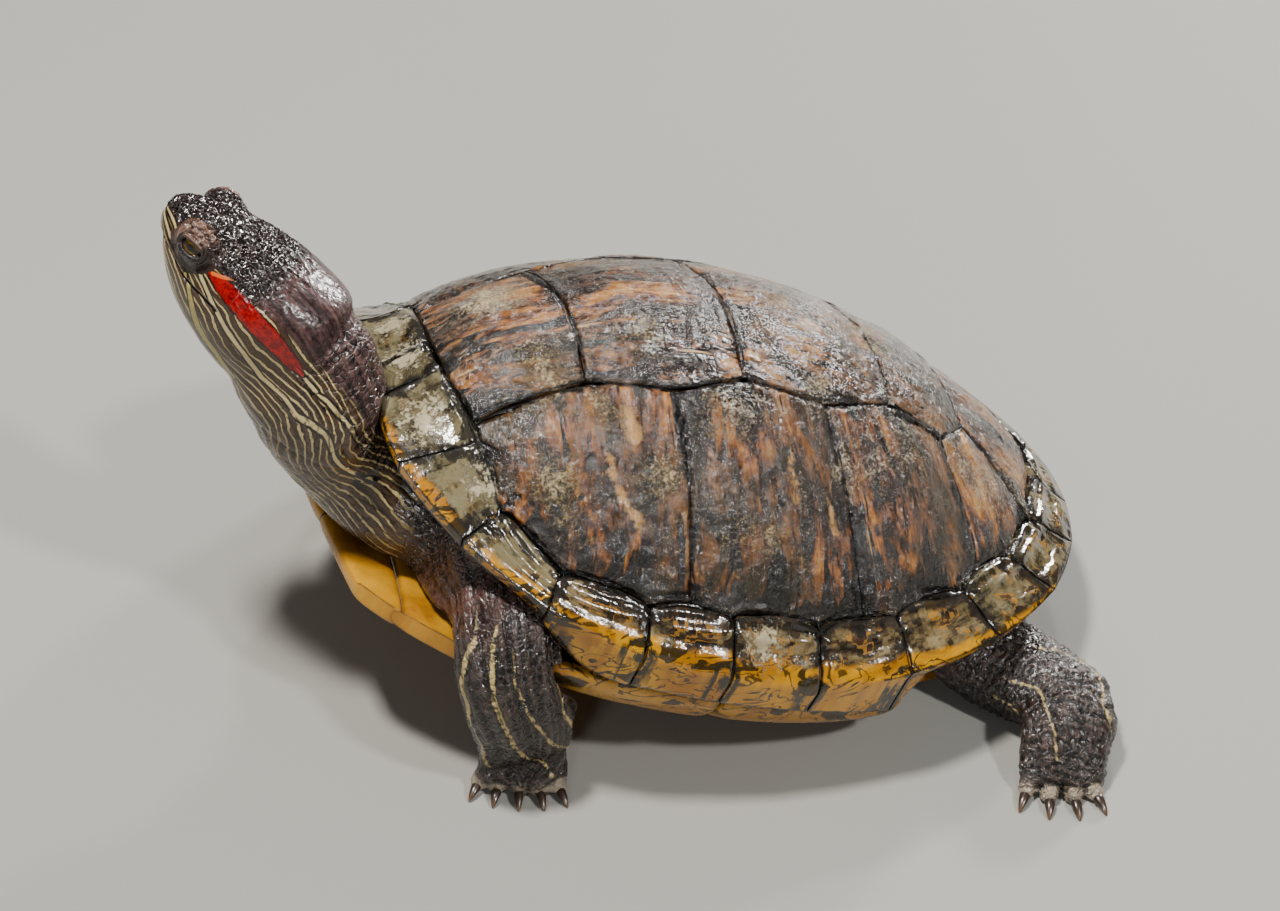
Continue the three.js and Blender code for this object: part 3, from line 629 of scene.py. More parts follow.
# %% Model the margin
margin_levels = 4 if fine else 3
margin_solid_edge, margin_rim_edge = 50, 42
yellow_counts = (0, 1, 2, 3, 3.5, 7, 7.6, 9, 9.5, 12)
yellow_shares = (0.80, 0.77, 0.76, 0.68, 0.56, 0.60, 0.74, 0.78, 0.88, 0.92)
margin_lip, margin_swell, margin_trough = (1.7, 1.1, 0.70), (0.66, 0.14, 0.30), (0.40, 0.16, -0.25)
margin_dent, margin_dent_size = 0.30, 9.0
margin_ripple, margin_ripple_size = 0.08, 3.0
margin_ring, margin_ring_spacing, margin_ring_wander = 0.09, 1.7, 2.5
margin_ring_start = (7.6, 9.0)
under_side, under_side_share = -0.25, 2.2
marginal_width = 16
dark_ring_share = 1.15
pale_margin_spots = ((12, 4, 31, 9), (11, -16, 29, 11), (88, -67, 9, 9), (22, -34, 26, 9), (14, 18, 29, 8))
margin_grain = (marginal_width, 14, 2.9)

margin_pieces = []
for number, node in enumerate(nodes_named("marginal", "nuchal")):
    piece = plate_of(node, margin_solid_edge, margin_levels)
    arch_seam(piece)
    rim = distance_to_rim(piece, margin_rim_edge)
    points, normals = points_of(piece), normals_of(piece)
    place = in_shell(points)
    count, distance, away = seam_count(plan_of(place))
    if node == "nuchal":
        count = np.minimum(count, 1.0)
    on_seam = seam_curve[np.searchsorted(seam_marginals, count).clip(0, len(seam_curve) - 1)]
    width = lengths(rim_of_shell(count) - on_seam)
    share = distance / width
    upright = (normals @ shell_turn)[:, 2]
    share = np.where(upright > under_side, share, under_side_share - share)
    height = hump(distance, *margin_lip) * (share < 1)
    height += hump(share, *margin_swell) + hump(share, *margin_trough)
    dents = rough_noise(place + (0, 0, number * 7), margin_dent_size, 2)
    ripples = rough_noise(place + (0, 0, number * 3), margin_ripple_size, 2)
    rings = np.sin(2 * np.pi * (rim + margin_ring_wander * dents) / margin_ring_spacing)
    rings *= step(1.5, 3, rim) * step(*margin_ring_start, count)
    height += margin_dent * dents + margin_ripple * ripples + margin_ring * rings
    height *= step(0.1, 1.4, rim)
    set_points(piece, points + normals * (height * mm)[:, None])
    yellow = (share - np.interp(count, yellow_counts, yellow_shares)) * width
    near_seam = np.abs(count - np.round(count)) * marginal_width
    ring = np.hypot(near_seam, (share - dark_ring_share) * width)
    grain = columns(count, share, number) * margin_grain
    write_fields(piece, grain=grain, margin=columns(yellow, ring, count), rim=rim,
                 worn_spot=spot_field(place, pale_margin_spots), hollow=hollow_of(piece))
    margin_pieces.append((piece, node))
print("margin faces", sum(len(p.data.polygons) for p, n in margin_pieces))

# %% [markdown]
# ## Plastron
# The lower shell is smooth and thick, and turns up at the sides as the bridge that carries the
# margin. Each solid is a pair of plates, and a shallow groove along the middle parts the two.

# %% Model the lower shell
plastron_levels = 3 if fine else 2
plastron_solid_edge, plastron_rim_edge = 70, 24
plastron_crease = 0.2
groove_depth, groove_half_width = 0.35, 0.9
bridge_height, bridge_side = (-17, -12), (46, 54)

plastron_pieces = []
for number, node in enumerate(nodes_named("plastron")):
    piece = plate_of(node, plastron_solid_edge, plastron_levels, plastron_crease)
    rim = distance_to_rim(piece, plastron_rim_edge)
    points = points_of(piece)
    place = in_shell(points)
    groove = hump(place[:, 1], 0, groove_half_width, groove_depth)
    set_points(piece, points - normals_of(piece) * groove[:, None] * mm)
    grain = columns(place[:, 0], place[:, 1], 4.3 * number)
    bridge = step(*bridge_height, place[:, 2]) * step(*bridge_side, np.abs(place[:, 1]))
    write_fields(piece, grain=grain, bridge=bridge, rim=rim)
    plastron_pieces.append((piece, node))
print("plastron faces", sum(len(p.data.polygons) for p, n in plastron_pieces))

# %% [markdown]
# ## The head's own frame
# The head is turned to the animal's right and raised. Its markings, lids and mouth are laid
# out along its own axes: forward from the nape, to its right and upwards.

# %% Head frame and toes
head_base = np.array([-83.450, 3.118, 93.577])
head_axes = np.array([[-0.6845, 0.5467, 0.4823], [0.5565, 0.8192, -0.1388], [0.4709, -0.1734, 0.8650]])
head_length = 46.0
eye_place = (35.42, 7.9, 4.4)
left_eye, right_eye = ((eye_place[0], side * eye_place[1], eye_place[2]) for side in (-1, 1))
eye_radius = 4.1
lid_radius = 5.1
gaze = np.array([0.9, 4.7, -0.6])
gaze /= np.linalg.norm(gaze)
gaze_level = np.cross([0.0, 0.0, 1.0], gaze)
gaze_level /= np.linalg.norm(gaze_level)
gaze_rise = np.cross(gaze, gaze_level)
toe_height = 1.9
# Of each foot: its side, the number of its toes, the middle of their roots, their spread,
# their heading in degrees (0 to the rear, 90 outwards), their fan, length and girth.
feet = {
    "front_foot_left": (-1, 5, 35.5, 56.5, 8, 108, 24, 6.5, 2.4),
    "front_foot_right": (1, 5, 39, 70.5, 8, 145, 30, 7, 2.4),
    "hind_foot_left": (-1, 4, 162.5, 88, 7, 106, 22, 7.5, 2.7),
    "hind_foot_right": (1, 4, 148.5, 80.5, 7, 145, 26, 7, 2.5)}


def in_head(points):
    return (points / mm - head_base) @ head_axes.T


def head_place(forward, right, up):
    return head_base + np.array([forward, right, up]) @ head_axes


def shell_place(x, y, z):
    return (np.array(shell_origin) + shell_turn @ np.array([x, y, z]) * mm) / mm


def floor_place(x, y, z):
    return np.array([x, y, z]) + (shell_origin.x / mm, shell_origin.y / mm, 0)


def toes_of(foot):
    """The root, the heading and the length of each toe of a foot."""
    side, count, x, y, spread, heading, fan, length = feet[foot][:-1]
    for turn in np.linspace(-1, 1, count).tolist():
        angle = math.radians(heading + turn * fan)
        across = math.radians(heading + 90)
        root = floor_place(x + math.cos(across) * turn * spread,
                           (y + math.sin(across) * turn * spread) * side, toe_height)
        ahead = np.array([math.cos(angle), math.sin(angle) * side, 0])
        yield root, ahead, length * (1 - 0.22 * turn * turn)


toes = {foot: list(toes_of(foot)) for foot in feet}
print("toes", sum(len(found) for found in toes.values()))

# %% [markdown]
# ## One skin
# The flesh is packed as separate solids, but skin has no seams. Copies of the solids are
# grown until they touch, a ball stands in for each eye and its lids, and a voxel Remesh wraps
# them in one closed surface. It is smoothed where the body is soft.

# %% Wrap the flesh in one skin
flesh_nodes = ["trunk", "neck", "head", "lower_jaw", "tail"]
flesh_nodes += [f"{part}_{side}" for part in ("front_leg", "front_foot", "hind_leg", "hind_foot")
                for side in ("left", "right")]
touch = 0.35
voxel = 0.75 if fine else 1.2
waist_share = 0.65
waist_height = 5
claw_width = 3.2


def without_claws(points, foot):
    """Push the claws of the solid foot back into its toes."""
    for root, ahead, length in toes[foot]:
        rel = points / mm - root
        along = rel @ ahead
        beyond = along - (length - 0.2)
        claw = (beyond > 0) & (lengths(rel - np.outer(along, ahead)) < claw_width)
        points = points - np.outer(np.where(claw, beyond, 0) * mm, ahead)
    return points


def narrow_inside(points):
    """Draw the hidden middle of the trunk away from the shell."""
    place = in_shell(points)
    middle = step(58, 72, place[:, 0]) * (1 - step(118, 132, place[:, 0]))
    place[:, 1] *= 1 - waist_share * middle
    place[:, 2] = place[:, 2] + (waist_height - place[:, 2]) * waist_share * middle
    return np.array(shell_origin) + place @ shell_turn.T * mm


flesh = []
for node in flesh_nodes:
    piece = cage_of(node, "flesh_" + node)
    points = points_of(piece)
    if node == "trunk":
        points = narrow_inside(points)
    if node in feet:
        points = without_claws(points, node)
    set_points(piece, points)
    if node not in feet:
        set_points(piece, points + normals_of(piece) * touch * mm)
    flesh.append(piece)
for side in (-1, 1):
    place = head_place(eye_place[0], side * (eye_place[1] - 0.3), eye_place[2]) * mm
    bpy.ops.mesh.primitive_uv_sphere_add(segments=24, ring_count=16, radius=(lid_radius + 0.3) * mm,
                                         location=place)
    flesh.append(bpy.context.active_object)
    bpy.ops.object.transform_apply(location=True, rotation=True, scale=True)


def join(pieces, name):
    select_only(pieces[0])
    for piece in pieces:
        piece.select_set(True)
    bpy.ops.object.join()
    joined = bpy.context.active_object
    joined.name = name
    return joined


skin = join(flesh, "skin")
apply_modifier(skin, "REMESH", mode="VOXEL", voxel_size=voxel * mm, adaptivity=0.0)
points = points_of(skin)
with only_points(skin, np.arange(len(points)) == points[:, 0].argmin()):
    bpy.ops.mesh.select_linked()
    bpy.ops.mesh.select_all(action="INVERT")
    bpy.ops.mesh.delete(type="VERT")
print("skin vertices", len(skin.data.vertices), "lowest", round(points_of(skin)[:, 2].min() / mm, 2))

# %% Smooth the body and keep the feet and the face firm
soft_rounds, joint_rounds, last_rounds = 34, 160, 4
soft_joints = ((shell_place(24, -47, -2), 16), (shell_place(24, 40, -2), 16), (shell_place(22, 0, 5), 28))
nape_place, nape_reach, nape_height = -0.05, 0.24, (-20, -8)
fill_rise, fill_middle, fill_length, fill_width = 3.2, -6.5, 7.5, 10
fill_height = (-8, 2)


def apply_by_weight(piece, kind, weights, **settings):
    """Apply a modifier at each point by its own weight."""
    group = piece.vertex_groups.new(name="weights")
    for index, weight in enumerate(weights.tolist()):
        group.add([index], weight, "REPLACE")
    apply_modifier(piece, kind, vertex_group=group.name, **settings)
    piece.vertex_groups.clear()


def nearness(points, spots):
    """A share from 1 at the nearest of the spots, fading over the size of each."""
    return np.max([hump(lengths(points - centre), 0, size) for centre, size in spots], 0)


points = points_of(skin)
head_points = in_head(points)
eye_distance = np.min([lengths(head_points - eye) for eye in (left_eye, right_eye)], 0)
softness = np.min([0.12 + 0.88 * step(5.5, 9.0, eye_distance),
                   0.2 + 0.8 * (1 - step(0.8, 0.95, head_points[:, 0] / head_length)),
                   1 - 0.85 * (1 - step(3, 14, points[:, 2] / mm))], 0)
apply_by_weight(skin, "SMOOTH", softness, factor=0.5, iterations=soft_rounds)
points = points_of(skin)
head_points = in_head(points)
nape = hump(head_points[:, 0] / head_length, nape_place, nape_reach)
nape *= step(*nape_height, head_points[:, 2])
softness = np.maximum(nape, nearness(points / mm, soft_joints))
apply_by_weight(skin, "SMOOTH", softness, factor=0.5, iterations=joint_rounds)
points = points_of(skin)
head_points = in_head(points)
fill = hump(head_points[:, 0], fill_middle, fill_length) * hump(head_points[:, 1], 0, fill_width)
fill *= step(*fill_height, head_points[:, 2])
set_points(skin, points + np.outer(fill_rise * fill, head_axes[2]) * mm)
apply_modifier(skin, "SMOOTH", factor=0.5, iterations=last_rounds)
print("skin vertices", len(skin.data.vertices))

# %% [markdown]
# ## Detail where it is seen
# A voxel mesh is equally fine everywhere, which wastes most of it on the trunk inside the
# shell. That part is thinned, and the head and the lids are cut finer.

# %% Thin the hidden trunk and refine the head
hidden_triangles = 9000
hidden_start, hidden_end, hidden_side = (32, 40), (150, 158), (40, 47)
head_start, head_half_width, head_floor = -0.05 * head_length, 24, -20
lid_area = 6.5


def triangles_of(piece):
    return sum(len(p.vertices) - 2 for p in piece.data.polygons)


def thin(piece, weights, wanted):
    before = triangles_of(piece)
    if before > wanted:
        apply_by_weight(piece, "DECIMATE", weights, ratio=wanted / before, vertex_group_factor=1.0)
    print("triangles", before, "then", triangles_of(piece))


def cut_finer(piece, near):
    """Cut every face whose corners are all near into four."""
    with only_points(piece, near):
        bpy.ops.mesh.subdivide(number_cuts=1, smoothness=0)


place = in_shell(points_of(skin))
hidden = step(*hidden_start, place[:, 0]) * (1 - step(*hidden_end, place[:, 0]))
hidden *= 1 - step(*hidden_side, np.abs(place[:, 1]))
seen_share = 1 - (hidden > 0.5).mean()
thin(skin, hidden, int(2 * len(hidden) * seen_share + hidden_triangles))
place = in_head(points_of(skin))
beside = np.abs(place[:, 1]) < head_half_width
cut_finer(skin, (place[:, 0] > head_start) & beside & (place[:, 2] > head_floor))
if fine:
    away = lengths(in_head(points_of(skin)) - left_eye)
    cut_finer(skin, away < lid_area)
print("skin vertices", len(skin.data.vertices))

# %% [markdown]
# ## Paths through the body
# Skin markings follow the body, so a path runs through the middle of the neck and of each
# leg. Every skin point gets its place along the nearest path and its angle around it, averaged
# over nearby stretches of the path so that nothing jumps where it bends.

# %% Coordinates along and around the limbs
def limb_path(places):
    places = np.array(places)
    steps_between = 7
    return np.vstack([curve_through(places, places[-1] * 2 - places[-2], steps_between)[0], places[-1]])


def around_path(points, path, first_side, last_side, blur=5.0):
    """Millimetres along a path, degrees around it and the distance from it."""
    ahead = np.gradient(path, axis=0)
    ahead /= lengths(ahead)[:, None]
    length = np.concatenate([[0], np.cumsum(lengths(np.diff(path, axis=0)))])
    share = (length / length[-1])[:, None]
    right = (1 - share) * np.array(first_side) + share * np.array(last_side)
    right -= (right * ahead).sum(1)[:, None] * ahead
    right /= lengths(right)[:, None]
    up = np.cross(ahead, right)
    along, turn, radius = np.zeros((3, len(points)))
    at_a_time = 20000
    for start in range(0, len(points), at_a_time):
        part = slice(start, start + at_a_time)
        rel = points[part, None, :] - path[None]
        square = (rel ** 2).sum(2)
        weight = np.exp(-(square - square.min(1)[:, None]) / (2 * blur * blur))
        weight /= weight.sum(1)[:, None]
        aside = (weight * (rel * right[None]).sum(2)).sum(1)
        above = (weight * (rel * up[None]).sum(2)).sum(1)
        along[part] = (weight * length[None]).sum(1)
        turn[part] = np.degrees(np.arctan2(aside, above))
        radius[part] = np.sqrt(square.min(1))
    return along, turn, radius


neck_places = [head_place(share * head_length, 0, up) for share, up in (
    (1.02, 1.5), (0.8, 0.5), (0.6, -1.5), (0.4, -4), (0.2, -7), (0, -10), (-0.16, -12.6))]
neck_places += [shell_place(*place) for place in (
    (-5, -0.6, 15.5), (3.5, 0.8, 9), (13, 0.5, 3.5), (21, 0, 1.5), (34, 0, 1))]
neck_end, neck_border = (8, 26), 8
# Of each leg: its places in the shell's frame, its places over the floor and its broad side.
leg_places = {
    "front_left": (((40, -30, 3), (34, -44, -3), (35, -54, -13), (42, -57, -25)),
                   ((36.5, -54.5, 9.5), (36, -57, 4.4), (33, -68, 2)), (1, 0, 0.2)),
    "front_right": (((40, 30, 3), (36, 46, -3), (41, 58, -12), (50, 64, -23)),
                    ((46, 66, 9.5), (42, 69, 4.4), (32, 76, 2)), (1, 0.3, 0.2)),
    "hind_left": (((146, -30, 3), (156, -41, -3), (168, -54, -5), (178, -69, -3.5)),
                  ((167, -80, 9), (164, -86, 4.8), (160, -98, 2)), (1, 0.1, 0.2)),
    "hind_right": (((146, 30, 3), (157, 44, -1), (167, 58, -1)),
                   ((165, 68, 12), (158, 74, 7), (152, 78, 4.4), (142, 86, 2)), (0.8, 0.6, 0.2))}

points = points_of(skin) / mm
neck_along, neck_turn, neck_radius = around_path(points, limb_path(neck_places), head_axes[1], (0, 1, 0))
leg_along, leg_turn = np.zeros((2, len(points)))
leg_radius = np.full(len(points), 1e3)
for name, (upper, lower, broad) in leg_places.items():
    path = limb_path([shell_place(*place) for place in upper] + [floor_place(*place) for place in lower])
    along, turn, radius = around_path(points, path, broad, broad, 3.5)
    if name.endswith("right"):
        turn = (360 - turn) % 360 - 180
    nearer = radius < leg_radius
    leg_along[nearer], leg_turn[nearer], leg_radius[nearer] = along[nearer], turn[nearer], radius[nearer]
behind = step(*neck_end, in_shell(points * mm)[:, 0])
neck_share = step(-neck_border, neck_border, leg_radius - neck_radius) * (1 - behind)
print("neck path mm", round(float(neck_along.max()), 1), "neck points", int((neck_share > 0.5).sum()))

# %% [markdown]
# ## Sculpting the skin
# Lids, mouth, nostrils, wrinkles and folds are real shape. The lids open over the eyeball, a
# groove follows the mouth, and the rest moves the skin a little along its normals.

# %% Open the lids
lid_half_width = 3.1
lid_half_height = 1.75
lid_reach = 7.5
socket_depth = 0.55
lip_swell = 0.38
lid_crease_depth = 0.19
lid_crease_spacing = 1.05
far_outside = -9.0


def lid_distance(rel):
    """Millimetres inside the opening between the lids; negative on the lids."""
    across, above = rel @ gaze_level, rel @ gaze_rise
    round_end = np.sqrt(np.clip(1 - (across / lid_half_width) ** 2, 0, 1))
    inside = lid_half_height * round_end - np.abs(above)
    beyond = lid_half_width - np.hypot(across, above)
    in_reach = np.where(round_end > 0, np.minimum(inside, 3.0), beyond)
    return np.where(rel @ gaze > 0, in_reach, far_outside)


head_points = in_head(points * mm)
opening = np.full(len(points), far_outside)
lid_rise = np.zeros(len(points))
for side in (-1, 1):
    rel = head_points * (1, side, 1) - eye_place
    away = lengths(rel)
    outwards = rel / away[:, None]
    distance = np.where(away < lid_reach, lid_distance(outwards * lid_radius), far_outside)
    opening = np.maximum(opening, distance)
    lid_rise = np.where(distance > -8.5, (rel * (0.9, 0, 1)).sum(1), lid_rise)
    target = eye_radius - socket_depth
    target += (away - eye_radius + socket_depth) * (1 - step(-0.10, 0.40, distance))
    lip = hump(distance, -0.50, 0.36, lip_swell)
    waves = np.sin(distance * 2 * np.pi / lid_crease_spacing + 0.5 * np.sin(rel[:, 0] * 0.8))
    crease = lid_crease_depth * waves
    crease *= step(-5.5, -4.0, distance) * (1 - step(-1.1, -0.6, distance)) * (away < 7.0)
    moved = np.where(distance > -8, target + lip + crease, away)
    head_points = (eye_place + outwards * moved[:, None]) * (1, side, 1)
points = head_base + head_points @ head_axes
set_points(skin, points * mm)
print("points inside the openings", int((opening > 0).sum()))

# %% Cut the mouth and the nostrils
mouth_line = np.array([[0.50, -3.6], [0.72, -4.4], [0.90, -2.6], [1.10, -2.2]]) * (head_length, 1)
mouth_depth, mouth_half_width = 0.75, 0.42
mouth_corner = (0.46, 0.56)
lip_above = 0.22
nostril_depth, nostril_size = 0.8, 0.75
nostrils = [((45.2, side * 1.5, 2.9), nostril_size) for side in (-1, 1)]

mouth_distance = np.full(len(points), 99.0)
for start, end in zip(mouth_line[:-1], mouth_line[1:]):
    gap = gap_to_line(head_points[:, (0, 2)], start, end)
    signed = np.sign(gap[:, 1]) * np.hypot(gap[:, 0], gap[:, 1])
    mouth_distance = np.where(np.abs(signed) < np.abs(mouth_distance), signed, mouth_distance)
in_front = step(*mouth_corner, head_points[:, 0] / head_length) * (neck_share > 0.5)
cut = hump(mouth_distance, 0.9, 0.5, lip_above) - hump(mouth_distance, 0, mouth_half_width, mouth_depth)
height = cut * in_front - nostril_depth * nearness(head_points, nostrils)

# %% Wrinkle the crown and fold the soft skin
# The crown and the temple each have a border in degrees round the neck's path, and one in
# millimetres along it.
crown_turn, crown_end = (56, 76), (21, 33)
temple_turn, temple_start = (58, 70), (20, 32)
nape_start = (42, 50)
crown_wrinkle, temple_wrinkle, wrinkle_size = 0.68, 0.10, 2.2
neck_fold = 0.30
nape_row, nape_row_spacing = 0.20, 2.6
leg_fold = 0.80
ankle_row, ankle_row_spacing = 0.22, 2.4
leg_lump, leg_lump_size = 0.30, 3.4


def fold_noise(*coordinates):
    return rough_noise(columns(*coordinates), 0.9, 2)


def rows_along(along, spacing, sway, octaves):
    return np.sin(along * 2 * np.pi / spacing + sway * rough_noise(points, 6.0, octaves))


turned = np.abs(neck_turn)
share = head_points[:, 0] / head_length
on_head = neck_share * step(-0.12, 0.02, share)
on_neck = neck_share * (1 - step(-0.05, 0.15, share))
on_leg = 1 - neck_share
at_rear = step(0, 30, points[:, 0])
crown = neck_share * (1 - step(*crown_turn, turned)) * (1 - step(*crown_end, neck_along))
temple = neck_share * (1 - step(*temple_turn, turned)) * step(*temple_start, neck_along)
ridges = 0.5 - np.abs(rough_noise(points, wrinkle_size, 3)) * 1.7
height += crown_wrinkle * ridges * crown
height += temple_wrinkle * ridges * temple
folds = fold_noise(neck_turn * 0.25, neck_along * 0.09, points[:, 2] * 0.02)
height += neck_fold * folds * on_neck * (1 - temple * 0.6)
rows = rows_along(neck_along, nape_row_spacing, 2.0, 2)
height += nape_row * rows * temple * step(*nape_start, neck_along)
folds = fold_noise(leg_turn * 0.062, leg_along * 0.030, points[:, 0] * 0.03)
height += leg_fold * folds * on_leg * (1 - 0.4 * at_rear)
rows = rows_along(leg_along, ankle_row_spacing, 5.0, 3)
height += ankle_row * rows * on_leg * (0.25 + 0.75 * at_rear) * step(22, 34, leg_along)
lumps = 0.45 - np.abs(rough_noise(points + 40, leg_lump_size, 2)) * 1.5
height += leg_lump * lumps * on_leg
opened = step(-1.0, -0.3, opening)
points += normals_of(skin) * (height * (1 - opened))[:, None]
points[:, 2] = np.maximum(points[:, 2], 0.0)
set_points(skin, points * mm)
write_fields(skin, hollow=hollow_of(skin, 0.05))
print("folds from", height.min().round(2), "to", height.max().round(2))

# %% [markdown]
# ## Markings as distances
# A coloured patch kept as the distance to its outline stays crisp between the points of the
# mesh. The red patch and the pale lines are strokes on the skin. Each point of a stroke has
# its millimetres along the path, its degrees round it from the top or, on a leg, from the
# broad side, and its half width.

# %% Lay out the patches and stripes
head_strokes = {
    "red": [((17, 79, 0.4), (18, 78, 0.9), (21, 76.5, 1.8), (25, 74.5, 2.25), (30, 74, 2.3), (35, 72.5, 2.2),
             (40, 71.5, 1.75), (45, 71.5, 1.25), (47.5, 72, 0.5))],
    "spur": [((17.5, 77, 0.5), (19.6, 70, 0.5), (21.0, 65, 0.15))],
    "jaw_stripe": [((14.5, 109, 0.5), (19.9, 120, 0.9), (25.8, 132, 1.3), (33.7, 132, 1.1), (41, 138, 0.6))],
    "cream": [((15, 88, 0.25), (17.1, 91, 0.4), (22.8, 96, 0.5), (29.4, 100, 0.55), (35.6, 101, 0.55),
               (43.2, 105, 0.6), (49.8, 101, 0.55), (54, 105, 0.55), (58, 84, 0.55), (76.6, 77, 0.5)),
              ((47.5, 72, 0.35), (52.4, 73, 0.45), (55.4, 69, 0.45), (57.9, 61, 0.4), (66, 50, 0.3)),
              ((5, 150, 0.4), (12, 140, 0.4), (20, 148, 0.45), (30, 152, 0.5), (42, 150, 0.5)),
              ((4, 100, 0.25), (8, 104, 0.35), (14, 101, 0.35)),
              ((4, 70, 0.2), (7, 84, 0.3), (14, 92, 0.3))]}
leg_strokes = {
    "front": [((18, -42, 0.3), (24, -47, 0.6), (26, -62, 0.7), (30, -76, 0.8), (40, -84, 0.85),
               (50, -80, 0.8), (58, -70, 0.7), (62, -62, 0.4)),
              ((22, -20, 0.4), (25.7, -30, 0.6), (33, -41, 0.65), (45, -37, 0.6), (55, -10, 0.5),
               (65, 73, 0.4)),
              ((26, -2, 0.3), (30.8, -8, 0.45), (41.8, 7, 0.5), (50, 40, 0.45), (60, 75, 0.4)),
              ((30, 60, 0.4), (43, 55, 0.5), (52, 80, 0.4)),
              ((28, 130, 0.4), (40, 150, 0.5), (55, 140, 0.4))],
    "hind": [((38, 18, 0.3), (42, 24, 0.5), (50, 60, 0.6), (58, 58, 0.55), (64, 91, 0.4)),
             ((36, -45, 0.3), (42, -44, 0.45), (65, -40, 0.4), (75, -18, 0.35)),
             ((35, -68, 0.4), (48, -75, 0.4), (60, -85, 0.35)),
             ((34, 120, 0.4), (48, 140, 0.5), (62, 130, 0.4))]}
stripes_edge = ((0, 12, 18, 30, 41, 51, 55, 61, 70), (60, 84, 70, 62, 60, 54, 52, 40, 30))
bare_spots = ((shell_place(30, -38, -4), 22), (shell_place(30, 38, -4), 22), (shell_place(17, 0, -9), 20),
              (shell_place(152, -44, -2), 17), (shell_place(152, 44, -2), 17))
toe_tip_size = 4.5


def stroke_distance(along, turn, radius, strokes):
    """Millimetres inside the nearest of the strokes; negative outside."""
    best = np.full(len(turn), far_outside)
    arc = np.radians(radius)
    spot = columns(along, turn * arc)
    for stroke in strokes:
        ends = [columns(float(a), b * arc) for a, b, half in stroke]
        halves = [half for a, b, half in stroke]
        for start, end, start_half, end_half in zip(ends, ends[1:], halves, halves[1:]):
            way = end - start
            passed = np.clip(((spot - start) * way).sum(1) / np.maximum((way ** 2).sum(1), 1e-9), 0, 1)
            gap = lengths(spot - start - passed[:, None] * way)
            best = np.maximum(best, start_half + (end_half - start_half) * passed - gap)
    return best


neck_only = neck_share > 0.5
around = np.clip(neck_radius, 3, 22)
for name, strokes in head_strokes.items():
    inside = stroke_distance(neck_along, turned, around, strokes)
    write_fields(skin, **{name: np.where(neck_only, inside, far_outside)})
below_edge = np.radians(turned - np.interp(neck_along, *stripes_edge)) * around
around = np.clip(leg_radius, 3, 14)
front, hind = (stroke_distance(leg_along, leg_turn, around, leg_strokes[leg]) for leg in ("front", "hind"))
leg_line = np.where(neck_only, far_outside, np.where(at_rear < 0.5, front, hind))
toe_end = np.zeros(len(points))
for root, ahead, length in (toe for foot in toes.values() for toe in foot):
    away = lengths(points - (root + ahead * length * 0.65))
    toe_end = np.maximum(toe_end, 1 - away / toe_tip_size)
lid = np.where(opening > -8, opening, far_outside)
write_fields(skin, striped=np.where(neck_only, below_edge, far_outside), leg_line=leg_line,
             neck_share=neck_share, toe_end=toe_end, mouth=np.where(in_front > 0.3, mouth_distance, 99),
             flow=columns(neck_turn, neck_along, neck_radius),
             limb=columns(leg_turn, leg_along, leg_radius),
             crown=columns(crown, temple, nearness(points, bare_spots)),
             lid=columns(lid, lid_rise, 0.0))
select_only(skin)
bpy.ops.object.shade_smooth()
print("strokes", len(head_strokes) + len(leg_strokes))

# %% Keep the skin within its limit
most_skin_triangles = 194000
thin(skin, 1 - on_head, most_skin_triangles)

# %% [markdown]
# ## Eyes
# Each eye is a moist ball between the lids, with a slightly bulging cornea. `look` is 1 in the
# middle of the pupil and falls to the sides.

# %% Model the eyes
cornea_rise = 0.28
cornea_edge = (0.72, 0.95)

eye_pieces = []
for name, side in (("eye_left", -1), ("eye_right", 1)):
    bpy.ops.mesh.primitive_uv_sphere_add(segments=64, ring_count=40, radius=eye_radius * mm)
    ball = bpy.context.active_object
    ball.name = "ball_" + name
    local = points_of(ball) / mm
    look = local[:, 2] / eye_radius
    iris = columns(local[:, 0], local[:, 1], look)
    local *= (1 + cornea_rise * step(*cornea_edge, look) / eye_radius)[:, None]
    turned_ball = (local @ np.stack([gaze_level, gaze_rise, gaze]) + eye_place) * (1, side, 1)
    set_points(ball, (head_base + turned_ball @ head_axes) * mm)
    write_fields(ball, iris=iris)
    if side < 0:
        with edit_mode(ball):
            bpy.ops.mesh.normals_make_consistent(inside=False)
    select_only(ball)
    bpy.ops.object.shade_smooth()
    eye_pieces.append((ball, name))
print("eyes", len(eye_pieces))

# %% [markdown]
# ## Claws
# A claw is a curved, flattened cone of dark horn. One is modelled by extruding a small disc
# forward, downward and narrower a few times; the others are copies, one to each toe. A step
# of the claw says how far it goes forward and down and by what share it narrows.

# %% Model one claw and copy it to the toes
claw_radius = 1.3
claw_flatness = 0.85
claw_steps = ((1.1, 0.05, 0.92), (1.1, 0.25, 0.84), (1.0, 0.45, 0.74), (0.9, 0.6, 0.6), (0.5, 0.45, 0.35))
usual_girth = 2.4
claw_clearance = 0.05


def model_claw():
    bpy.ops.mesh.primitive_circle_add(vertices=12, radius=claw_radius * mm, fill_type="NGON",
                                      rotation=(0, math.radians(90), 0))
    claw = bpy.context.active_object
    bpy.ops.object.transform_apply(location=False, rotation=True, scale=False)
    tip = np.zeros(3)
    with edit_mode(claw):
        for forward, fall, size in claw_steps:
            way = np.array((forward, 0, -fall))
            tip += way
            bpy.ops.mesh.extrude_region_move(TRANSFORM_OT_translate={"value": tuple(way * mm)})
            bpy.ops.transform.resize(value=(size, size, size), center_override=tuple(tip * mm))
    set_points(claw, points_of(claw) * (1, 1, claw_flatness))
    with edit_mode(claw):
        bpy.ops.mesh.normals_make_consistent(inside=False)
    apply_modifier(claw, "SUBSURF", levels=2, render_levels=2)
    return claw


